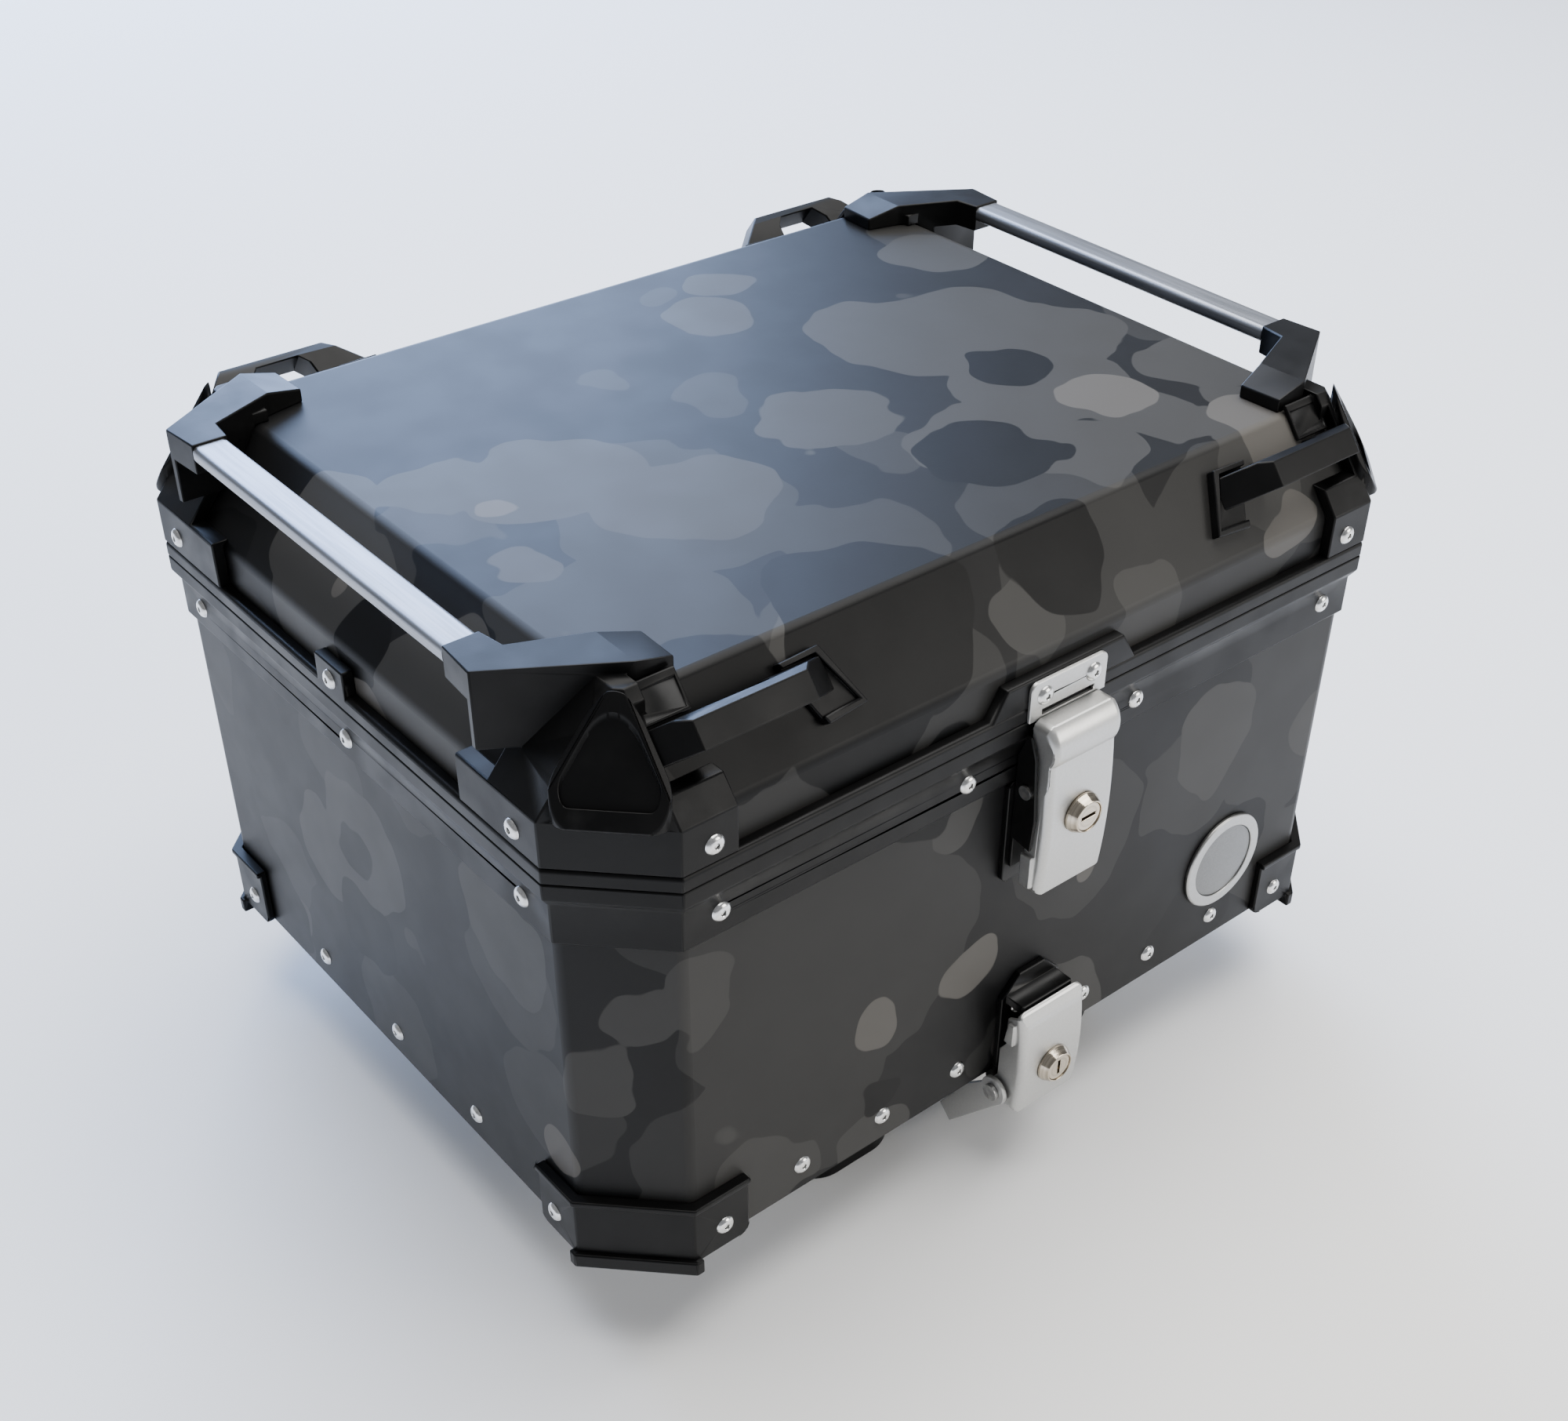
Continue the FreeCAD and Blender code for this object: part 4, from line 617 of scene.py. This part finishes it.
def grow(piece: bpy.types.Object, tree: bpy.types.NodeTree, values: dict[str, Any]) -> None:
    """Runs a node tree on a piece and keeps the result as plain, closed mesh.

    Args:
        piece: The piece, which holds the points that the tree starts from.
        tree: The node tree.
        values: A value for each named input that differs from its default.
    """
    modifier = piece.modifiers.new(tree.name, "NODES")
    modifier.node_group = tree
    inputs = {item.name: item.identifier for item in tree.interface.items_tree if item.in_out == "INPUT"}
    for name, value in values.items():
        modifier[inputs[name]] = value
    apply_all(piece)
    work = bmesh.new()
    work.from_mesh(piece.data)
    bmesh.ops.recalc_face_normals(work, faces=work.faces)
    work.to_mesh(piece.data)
    work.free()
    smooth_by_angle(piece, TURNED_ANGLE)


def begin_tree(name: str, points: str, sizes: dict[str, float], steps: tuple[str, int]) -> Graph:
    """Starts a geometry tree with named inputs.

    Args:
        name: The tree's name.
        points: Name of its geometry input.
        sizes: Name and default of each size.
        steps: Name and default of its count of steps.

    Returns:
        The tree's graph.
    """
    tree = bpy.data.node_groups.new(name, "GeometryNodeTree")
    face = tree.interface
    face.new_socket(points, in_out="INPUT", socket_type="NodeSocketGeometry")
    for size, value in sizes.items():
        face.new_socket(size, in_out="INPUT", socket_type="NodeSocketFloat").default_value = value
    face.new_socket(steps[0], in_out="INPUT", socket_type="NodeSocketInt").default_value = steps[1]
    face.new_socket("Finish", in_out="INPUT", socket_type="NodeSocketMaterial")
    face.new_socket("Result", in_out="OUTPUT", socket_type="NodeSocketGeometry")
    return Graph(tree)


def end_tree(graph: Graph, given: Any, shape: bpy.types.NodeSocket) -> bpy.types.NodeTree:
    """Ends a geometry tree: real geometry in its finish.

    Args:
        graph: The tree's graph.
        given: The tree's inputs.
        shape: The socket that holds the finished shape.

    Returns:
        The tree.
    """
    real = graph.add("GeometryNodeRealizeInstances", {"Geometry": shape}).outputs[0]
    values = {"Geometry": real, "Material": given["Finish"]}
    painted = graph.add("GeometryNodeSetMaterial", values).outputs[0]
    graph.add("NodeGroupOutput", {0: painted})
    return graph.tree


def dress(piece: bpy.types.Object, node: str, material: bpy.types.Material) -> None:
    """Gives a finished piece its material and its body, and hides the node that it stands for.

    Args:
        piece: The piece.
        node: The CAD node it replaces.
        material: The material itself.
    """
    if not piece.data.materials:
        piece.data.materials.append(material)
    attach(piece, frame["nodes"][node]["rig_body"])
    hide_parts(node)
    LOG.info("%s stands for %s with %d faces", piece.name, node, len(piece.data.polygons))


def dress_node(node: str, material: bpy.types.Material) -> None:
    """Gives a node that keeps its own shape a finish.

    Args:
        node: The node.
        material: The finish's material.
    """
    kept = frame["nodes"][node]
    kept.data.materials.clear()
    kept.data.materials.append(material)
    LOG.info("%s keeps its shape", node)


@dataclass
class Sheetwork:
    """The bent sheets: case walls, floor pan and lid pressing."""

    wall_bend: float = 3.0 * MM
    lid_bend: float = 2.8 * MM
    pan_round: float = 0.5 * MM
    bend_steps: int = 5
    bend_profile: float = 0.5
    least_bend: float = 18.0
    most_bend: float = 80.0
    shortest_bend: float = 3.0 * MM
    smooth_angle: float = 20.0

    def build(self, finishes: Finishes) -> None:
        """Builds and dresses the sheets.

        Args:
            finishes: The case's finishes.
        """
        plan = (("body_shell", "case_wall_sheet", self.wall_bend),
                ("lid_shell", "lid_pressing", self.lid_bend))
        for node, name, width in plan:
            piece = self.bent(node, name, width)
            self.two_sided(piece, finishes)
            dress(piece, node, finishes.of(Finish.CAMO))
        pan = eased("bottom_panel", "floor_pan", self.pan_round)
        dress(pan, "bottom_panel", finishes.of(Finish.BARE))

    def bent(self, node: str, name: str, width: float) -> bpy.types.Object:
        """Rounds the outer bends of a sheet.

        Args:
            node: The sheet's node.
            name: The new piece's name.
            width: Width of a bend.

        Returns:
            The sheet.
        """
        piece = merged_copy(node, name)
        centre = middle(node)
        work = bmesh.new()
        work.from_mesh(piece.data)
        least, most = math.radians(self.least_bend), math.radians(self.most_bend)
        bends = []
        for edge in work.edges:
            if len(edge.link_faces) != 2 or edge.calc_length() < self.shortest_bend:
                continue
            outside = all(face.normal.dot(edge.verts[0].co - centre) > 0 for face in edge.link_faces)
            if outside and least < edge.calc_face_angle() < most:
                bends.append(edge)
        bmesh.ops.bevel(
            work, geom=bends, offset=width, segments=self.bend_steps, profile=self.bend_profile,
            affect="EDGES", clamp_overlap=False, miter_outer="ARC")
        work.to_mesh(piece.data)
        work.free()
        smooth_by_angle(piece, self.smooth_angle)
        flatten_and_apply(piece)
        return piece

    def two_sided(self, piece: bpy.types.Object, finishes: Finishes) -> None:
        """Paints the outside of a sheet and leaves its inside bare.

        Args:
            piece: The sheet.
            finishes: The case's finishes.
        """
        piece.data.materials.append(finishes.of(Finish.CAMO))
        piece.data.materials.append(finishes.of(Finish.BARE))
        low, high = CAD_BOX
        centre = Vector((0.0, 0.0, (low[2] + high[2]) / 2))
        for face in piece.data.polygons:
            inward = face.normal.dot(face.center - centre) < 0
            face.material_index = 1 if inward else 0


@dataclass
class Mouldings:
    """Rims, protectors, corner castings and the base: everything moulded in black."""

    rim_round: float = 0.7 * MM
    guard_round: float = 0.8 * MM
    casting_round: float = 0.7 * MM
    base_round: float = 1.5 * MM
    corners: tuple[str, ...] = ("front_left", "front_right", "back_left", "back_right")

    def build(self, finishes: Finishes) -> None:
        """Builds and dresses the mouldings.

        Args:
            finishes: The case's finishes.
        """
        plan = [("body_rim", "case_rim_band", self.rim_round), ("lid_rim", "lid_rim_band", self.rim_round),
                ("mounting_base", "mounting_base_moulding", self.base_round)]
        for corner in self.corners:
            plan.append((f"protector_{corner}", f"corner_guard_{corner}", self.guard_round))
            plan.append((f"lid_corner_{corner}", f"lid_casting_{corner}", self.casting_round))
        for node, name, width in plan:
            dress(eased(node, name, width), node, finishes.of(Finish.PLASTIC))
        dress_node("lid_seal", finishes.of(Finish.RUBBER))


@dataclass
class Hardware:
    """Both latches, the hinges, the badge and the small turned parts."""

    cover_round: float = 0.6 * MM
    plate_round: float = 0.4 * MM
    leaf_round: float = 0.15 * MM
    small_round: float = 0.3 * MM

    def build(self, finishes: Finishes) -> None:
        """Builds and dresses the hardware.

        Args:
            finishes: The case's finishes.
        """
        plan = (
            ("latch_cover", "upper_latch_cover", self.cover_round, Finish.SATIN_SILVER),
            ("latch_backplate", "upper_latch_backplate", self.plate_round, Finish.LATCH_BLACK),
            ("latch_bracket", "upper_latch_bracket", self.plate_round, Finish.LATCH_BLACK),
            ("keeper_plate", "keeper", self.plate_round, Finish.SATIN_SILVER),
            ("rack_latch_housing", "rack_latch_body", self.cover_round, Finish.LATCH_BLACK),
            ("rack_lever_cover", "rack_lever", self.cover_round, Finish.SATIN_SILVER),
            ("rack_claw", "rack_claw_casting", self.plate_round, Finish.SATIN_SILVER),
            ("hinge_body_leaves", "case_hinge_leaves", self.leaf_round, Finish.LATCH_BLACK),
            ("hinge_lid_leaves", "lid_hinge_leaves", self.leaf_round, Finish.LATCH_BLACK),
            ("emblem_ring", "badge_ring", self.plate_round, Finish.BADGE_SILVER),
            ("emblem_disc", "badge_disc", self.plate_round, Finish.BADGE_GREY),
            ("latch_lock_barrel", "upper_lock_ring", self.small_round, Finish.NICKEL),
            ("latch_lock_plug", "upper_lock_plug", self.small_round, Finish.NICKEL),
            ("rack_lock_barrel", "lower_lock_ring", self.small_round, Finish.NICKEL),
            ("rack_lock_plug", "lower_lock_plug", self.small_round, Finish.NICKEL),
        )
        for node, name, width, finish in plan:
            material = finishes.lower_nickel if node.startswith("rack_lock") else finishes.of(finish)
            dress(eased(node, name, width), node, material)
        for node in ("latch_pivot_pin", "latch_spring", "latch_lock_cam", "rack_lock_cam", "rack_latch_pin",
                     "rack_claw_pins", "hinge_pins", "base_screws", "corner_screws"):
            dress_node(node, finishes.of(Finish.STEEL))
        dress_node("rack_inserts", finishes.of(Finish.BRASS))


@dataclass
class RivetSet:
    """Blind rivets: a turned head with its mandrel, repeated at each site by a node tree."""

    head_radius: float = 4.75 * MM
    head_height: float = 1.9 * MM
    tail_height: float = 2.6 * MM
    usual_grip: float = 4.0 * MM
    steps_around: int = 28
    seam_gap: float = 1e-6
    outline: tuple[tuple[float, float, float, float], ...] = (
        (0.00, 0.66, 0, 0), (0.14, 0.60, 0, 0), (0.17, 0.25, 0, 0), (0.25, 0.20, 0, 0), (0.27, 0.88, 0, 0),
        (0.33, 1.00, 0, 0), (0.52, 0.97, 0, 0), (0.70, 0.81, 0, 0), (0.82, 0.60, 0, 0), (0.92, 0.34, 0, 0),
        (0.99, 0.01, 0, 0), (0.98, 0.00, 0, 0), (0.505, 0.00, 0, 0), (0.505, 0.00, 1, 0), (0.73, 0.00, 1, 0),
        (0.73, 0.00, 1, 0.7), (0.60, 0.00, 1, 1), (0.00, 0.00, 1, 1))
    nodes: tuple[str, ...] = (
        "bottom_rivets", "band_rivets", "protector_rivets", "latch_bracket_rivets", "rack_latch_rivets",
        "keeper_rivets", "hinge_body_rivets", "hinge_lid_rivets", "lid_corner_rivets", "lid_tab_rivets")

    def build(self, finishes: Finishes) -> None:
        """Builds and dresses every set of rivets.

        Args:
            finishes: The case's finishes.
        """
        tree = self.tree()
        for node in self.nodes:
            piece = self.placed(node, tree, finishes.of(Finish.RIVET))
            dress(piece, node, finishes.of(Finish.RIVET))

    def sites(self, node: str) -> tuple[list[Vector], list[Vector], float]:
        """Finds where each rivet of a node stands.

        Args:
            node: The rivets' node.

        Returns:
            The seats, the outward directions and the thickness held.
        """
        work = bmesh.new()
        work.from_mesh(frame["nodes"][node].data)
        bmesh.ops.remove_doubles(work, verts=work.verts, dist=MERGE_GAP)
        work.verts.index_update()
        seats, outwards, grips = [], [], []
        left = set(work.verts)
        while left:
            island = self.island(left)
            seat, outward, length = self.axis_of(island)
            seats.append(seat - outward * self.head_height)
            outwards.append(outward)
            grips.append(length - self.head_height - self.tail_height)
        work.free()
        return seats, outwards, sum(grips) / len(grips)

    def island(self, left: set[bmesh.types.BMVert]) -> list[bmesh.types.BMVert]:
        """Takes one rivet's points out of those left.

        Args:
            left: Points not yet taken, which shrinks.

        Returns:
            The points of the rivet that holds the first of them.
        """
        start = min(left, key=lambda point: point.index)
        left.discard(start)
        found, queue = [start], [start]
        while queue:
            for edge in queue.pop().link_edges:
                for point in edge.verts:
                    if point in left:
                        left.discard(point)
                        found.append(point)
                        queue.append(point)
        return found

    def axis_of(self, island: list[bmesh.types.BMVert]) -> tuple[Vector, Vector, float]:
        """Finds the axis of one rivet from its points.

        Args:
            island: The rivet's points.

        Returns:
            The top of its head on the axis, its outward direction and its length.
        """
        points = [point.co.copy() for point in island]
        low = Vector(min(p[i] for p in points) for i in range(3))
        high = Vector(max(p[i] for p in points) for i in range(3))
        centre, size = (low + high) / 2, high - low
        mean = sum(points, Vector()) / len(points)
        along = max(range(3), key=lambda i: abs(mean[i] - centre[i]))
        outward = Vector((0.0, 0.0, 0.0))
        outward[along] = 1.0 if centre[along] > 0 else -1.0
        top = centre + outward * size[along] / 2
        return top, outward, size[along]

    def tree(self) -> bpy.types.NodeTree:
        """Builds the node tree that turns one rivet and sets it on every point.

        Returns:
            The tree.
        """
        sizes = {"Head Radius": self.head_radius, "Head Height": self.head_height,
                 "Tail Height": self.tail_height, "Grip": self.usual_grip}
        graph = begin_tree("blind_rivets", "Sites", sizes, ("Steps Around", self.steps_around))
        given = graph.add("NodeGroupInput").outputs
        profile = self.profile(graph, given)
        values = {"Resolution": given["Steps Around"], "Radius": given["Head Radius"]}
        ring = graph.add("GeometryNodeCurvePrimitiveCircle", values).outputs[0]
        turned = graph.add("GeometryNodeCurveToMesh", {"Curve": ring, "Profile Curve": profile}).outputs[0]
        values = {"Geometry": turned, "Distance": self.seam_gap}
        closed = graph.add("GeometryNodeMergeByDistance", values).outputs[0]
        outward = graph.add("GeometryNodeInputNamedAttribute", {"Name": "outward"}, data_type="FLOAT_VECTOR")
        turn = graph.add("FunctionNodeAlignRotationToVector", {"Vector": outward.outputs[0]}, axis="Z")
        values = {"Points": given["Sites"], "Instance": closed, "Rotation": turn.outputs[0]}
        repeated = graph.add("GeometryNodeInstanceOnPoints", values).outputs[0]
        return end_tree(graph, given, repeated)

    def profile(self, graph: Graph, given: Any) -> bpy.types.NodeSocket:
        """Adds the rivet's half outline as a curve.

        Args:
            graph: The tree's graph.
            given: The tree's inputs.

        Returns:
            The curve, offset so that the ring it is swept round closes it on the axis.
        """
        count = len(self.outline)
        line = graph.add("GeometryNodeCurvePrimitiveLine")
        points = graph.add("GeometryNodeResampleCurve", {"Curve": line.outputs[0], "Count": count})
        index = graph.add("GeometryNodeInputIndex").outputs[0]
        choose = graph.add("GeometryNodeIndexSwitch", data_type="VECTOR")
        while len(choose.index_switch_items) < count:
            choose.index_switch_items.new()
        graph.feed(choose.inputs["Index"], index)
        for place, (wide, tall, grips, tails) in enumerate(self.outline):
            radius = graph.math("MULTIPLY", given["Head Radius"], wide - 1.0)
            head = graph.math("MULTIPLY", given["Head Height"], tall)
            grip = graph.math("MULTIPLY", given["Grip"], grips)
            tail = graph.math("MULTIPLY", given["Tail Height"], tails)
            height = graph.math("SUBTRACT", graph.math("SUBTRACT", head, grip), tail)
            down = graph.math("MULTIPLY", height, -1.0)
            spot = graph.add("ShaderNodeCombineXYZ", {"X": radius, "Y": down})
            graph.feed(choose.inputs[place + 1], spot.outputs[0])
        values = {"Geometry": points.outputs[0], "Position": choose.outputs[0]}
        return graph.add("GeometryNodeSetPosition", values).outputs[0]

    def placed(self, node: str, tree: bpy.types.NodeTree, material: bpy.types.Material) -> bpy.types.Object:
        """Sets the rivets of one node in place.

        Args:
            node: The rivets' node.
            tree: The rivet tree.
            material: The rivets' finish.

        Returns:
            One plain mesh of rivets.
        """
        seats, outwards, grip = self.sites(node)
        mesh = bpy.data.meshes.new(f"set_{node}")
        mesh.from_pydata(seats, [], [])
        mesh.attributes.new("outward", "FLOAT_VECTOR", "POINT").data.foreach_set(
            "vector", [value for outward in outwards for value in outward])
        piece = new_object(f"set_{node}", mesh)
        grow(piece, tree, {"Grip": grip, "Finish": material})
        return piece


@dataclass
class CarryRail:
    """Extruded side rail: a rounded bar swept along its line by a node tree, with a tongue at each end."""

    width: float = 17.0 * MM
    thickness: float = 8.0 * MM
    rounding: float = 2.8 * MM
    round_steps: int = 5
    tongue_length: float = 14.0 * MM
    tongue_inset: float = 4.0 * MM
    tongue_thickness: float = 4.0 * MM
    tongue_rounding: float = 0.1
    skin: float = 0.02 * MM
    sides: tuple[str, ...] = ("rail_left", "rail_right")

    def build(self, finishes: Finishes) -> None:
        """Builds and dresses both rails.

        Args:
            finishes: The case's finishes.
        """
        tree = self.tree()
        for node in self.sides:
            piece = self.swept(node, tree, finishes.drawn)
            dress(piece, node, finishes.drawn)

    def tree(self) -> bpy.types.NodeTree:
        """Builds the node tree that sweeps the bar and sets its tongues.

        Returns:
            The tree.
        """
        sizes = {"Width": self.width, "Thickness": self.thickness, "Rounding": self.rounding,
                 "Tongue Width": self.width - 2 * self.tongue_inset,
                 "Tongue Thickness": self.tongue_thickness, "Tongue Length": self.tongue_length}
        graph = begin_tree("carry_rail", "Ends", sizes, ("Round Steps", self.round_steps))
        given = graph.add("NodeGroupInput").outputs
        steps = given["Round Steps"]
        line = graph.add("GeometryNodeMeshToCurve", {"Mesh": given["Ends"]}).outputs[0]
        bar = self.sweep(graph, line, given["Width"], given["Thickness"], given["Rounding"], steps)
        length = graph.math("MULTIPLY", given["Tongue Length"], -1.0)
        back = graph.add("ShaderNodeCombineXYZ", {"Y": length}).outputs[0]
        ahead = graph.add("ShaderNodeCombineXYZ", {"Y": given["Tongue Length"]}).outputs[0]
        short = graph.add("GeometryNodeCurvePrimitiveLine", {"Start": back, "End": ahead}).outputs[0]
        fine = graph.math("MULTIPLY", given["Tongue Thickness"], self.tongue_rounding)
        tongue = self.sweep(graph, short, given["Tongue Width"], given["Tongue Thickness"], fine, steps)
        values = {"Points": given["Ends"], "Instance": tongue}
        tongues = graph.add("GeometryNodeInstanceOnPoints", values).outputs[0]
        both = graph.add("GeometryNodeJoinGeometry")
        graph.tree.links.new(bar, both.inputs[0])
        graph.tree.links.new(tongues, both.inputs[0])
        return end_tree(graph, given, both.outputs[0])

    def sweep(self, graph: Graph, line: Any, width: Any, height: Any, rounding: Any, steps: Any) -> Any:
        """Adds a sweep of a rounded rectangle along a line.

        Args:
            graph: The tree's graph.
            line: The line, as a curve.
            width: Width of the rectangle.
            height: Height of the rectangle.
            rounding: Radius of its corners.
            steps: Points across each corner.

        Returns:
            The socket that holds the swept bar.
        """
        upright = graph.add("GeometryNodeSetCurveNormal", {"Curve": line}, mode="Z_UP").outputs[0]
        flat = graph.add("GeometryNodeCurvePrimitiveQuadrilateral", {"Width": width, "Height": height})
        values = {"Curve": flat.outputs[0], "Radius": rounding, "Count": steps, "Limit Radius": True}
        section = graph.add("GeometryNodeFilletCurve", values, mode="POLY").outputs[0]
        values = {"Curve": upright, "Profile Curve": section, "Fill Caps": True}
        return graph.add("GeometryNodeCurveToMesh", values).outputs[0]

    def swept(self, node: str, tree: bpy.types.NodeTree, material: bpy.types.Material) -> bpy.types.Object:
        """Sweeps one rail between the ends of its node.

        Args:
            node: The rail's node.
            tree: The rail tree.
            material: The rail's finish.

        Returns:
            The rail as plain mesh.
        """
        low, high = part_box(node)
        centre, size = (low + high) / 2, high - low
        reach = size.y / 2 - self.tongue_length
        mesh = bpy.data.meshes.new(f"carry_{node}")
        mesh.from_pydata([(centre.x, -reach, centre.z), (centre.x, reach, centre.z)], [(0, 1)], [])
        piece = new_object(f"carry_{node}", mesh)
        values = {"Width": size.x - self.skin, "Thickness": size.z - self.skin,
                  "Tongue Width": size.x - 2 * self.tongue_inset,
                  "Tongue Length": self.tongue_length - self.skin, "Finish": material}
        grow(piece, tree, values)
        return piece


@dataclass(frozen=True)
class Panel:
    """One soft panel of light: where it hangs, the point it faces, its side in metres and its watts."""

    name: str
    place: Place
    aim: Place
    size: float
    power: float
    colour: Colour


@dataclass
class Studio:
    """Plain floor, soft light and the camera."""

    focal: float = 45.58
    sensor: float = 36.0
    shift: tuple[float, float] = (-0.0321, 0.0604)
    turn: float = -40.938
    rise: float = 37.087
    roll: float = 1.216
    stand: Place = (-0.55075, -0.68400, 0.76755)
    floor_half: float = 6.0
    floor_dark: Colour = (0.88, 0.88, 0.88)
    floor_pale: Colour = (0.90, 0.90, 0.90)
    floor_roughness: float = 0.85
    cloud_scale: float = 1.5
    cloud_detail: float = 2.0
    room_colour: Colour = (0.94, 0.96, 1.0)
    room_strength: float = 0.30
    panels: tuple[Panel, ...] = (
        Panel("back_window", (0.7, 3.0, 1.6), (0.0, 0.0, 0.3), 2.8, 280.0, (0.45, 0.62, 1.0)),
        Panel("top_panel", (0.6, 0.2, 3.0), (0.0, 0.0, 0.0), 3.2, 215.0, (1.0, 0.985, 0.96)),
        Panel("front_panel", (1.6, -2.4, 1.2), (0.0, -0.1, 0.15), 1.4, 45.0, (1.0, 0.97, 0.92)),
    )

    def build(self) -> None:
        """Sets up the floor, the lights and the camera."""
        self.floor()
        self.world()
        for panel in self.panels:
            self.light(panel)
        self.camera()

    def floor(self) -> None:
        """Lays the floor under the case."""
        half = self.floor_half
        low = CAD_BOX[0][2]
        corners = [(-half, -half, low), (half, -half, low), (half, half, low), (-half, half, low)]
        mesh = bpy.data.meshes.new("studio_floor")
        mesh.from_pydata(corners, [], [(0, 1, 2, 3)])
        plane = new_object("studio_floor", mesh)
        material, graph, shader, place = Surface("floor_paper").begin()
        cloud = graph.noise(place, self.cloud_scale, self.cloud_detail).outputs[0]
        colour = graph.mix(cloud, rgba(self.floor_dark), rgba(self.floor_pale))
        graph.feed(shader.inputs["Base Color"], colour)
        shader.inputs["Roughness"].default_value = self.floor_roughness
        mesh.materials.append(material)

    def world(self) -> None:
        """Gives the room an even grey light."""
        world = bpy.data.worlds.new("studio_room")
        bpy.context.scene.world = world
        world.use_nodes = True
        background = world.node_tree.nodes["Background"]
        background.inputs[0].default_value = rgba(self.room_colour)
        background.inputs[1].default_value = self.room_strength

    def light(self, panel: Panel) -> None:
        """Hangs one soft panel of light.

        Args:
            panel: The panel's sizes.
        """
        data = bpy.data.lights.new(panel.name, "AREA")
        data.size = panel.size
        data.energy = panel.power
        data.color = panel.colour
        lamp = bpy.data.objects.new(panel.name, data)
        bpy.context.scene.collection.objects.link(lamp)
        lamp.location = panel.place
        ahead = Vector(panel.aim) - Vector(panel.place)
        lamp.rotation_euler = ahead.to_track_quat("-Z", "Y").to_euler()

    def camera(self) -> None:
        """Sets up the camera."""
        turn, rise, roll = (math.radians(value) for value in (self.turn, self.rise, self.roll))
        level = math.cos(rise)
        ahead = -Vector((math.sin(turn) * level, -math.cos(turn) * level, math.sin(rise)))
        right = ahead.cross(Vector((0, 0, 1))).normalized()
        up = right.cross(ahead).normalized()
        across = right * math.cos(roll) + up * math.sin(roll)
        upright = up * math.cos(roll) - right * math.sin(roll)
        data = bpy.data.cameras.new("studio_camera")
        camera = bpy.data.objects.new("studio_camera", data)
        bpy.context.scene.collection.objects.link(camera)
        axes = Matrix((across, upright, -ahead)).transposed()
        camera.matrix_world = Matrix.Translation(self.stand) @ axes.to_4x4()
        data.sensor_width = self.sensor
        data.lens = self.focal
        data.shift_x, data.shift_y = self.shift
        bpy.context.scene.camera = camera


def main() -> None:
    """Builds the case's looks in order."""
    logging.basicConfig(level=logging.INFO, format="%(message)s")
    finishes = Finishes()
    for assembly in (Sheetwork(), Mouldings(), Hardware(), RivetSet(), CarryRail()):
        assembly.build(finishes)
        LOG.info("%s done", type(assembly).__name__)
    Studio().build()


if __name__ == "__main__":
    main()
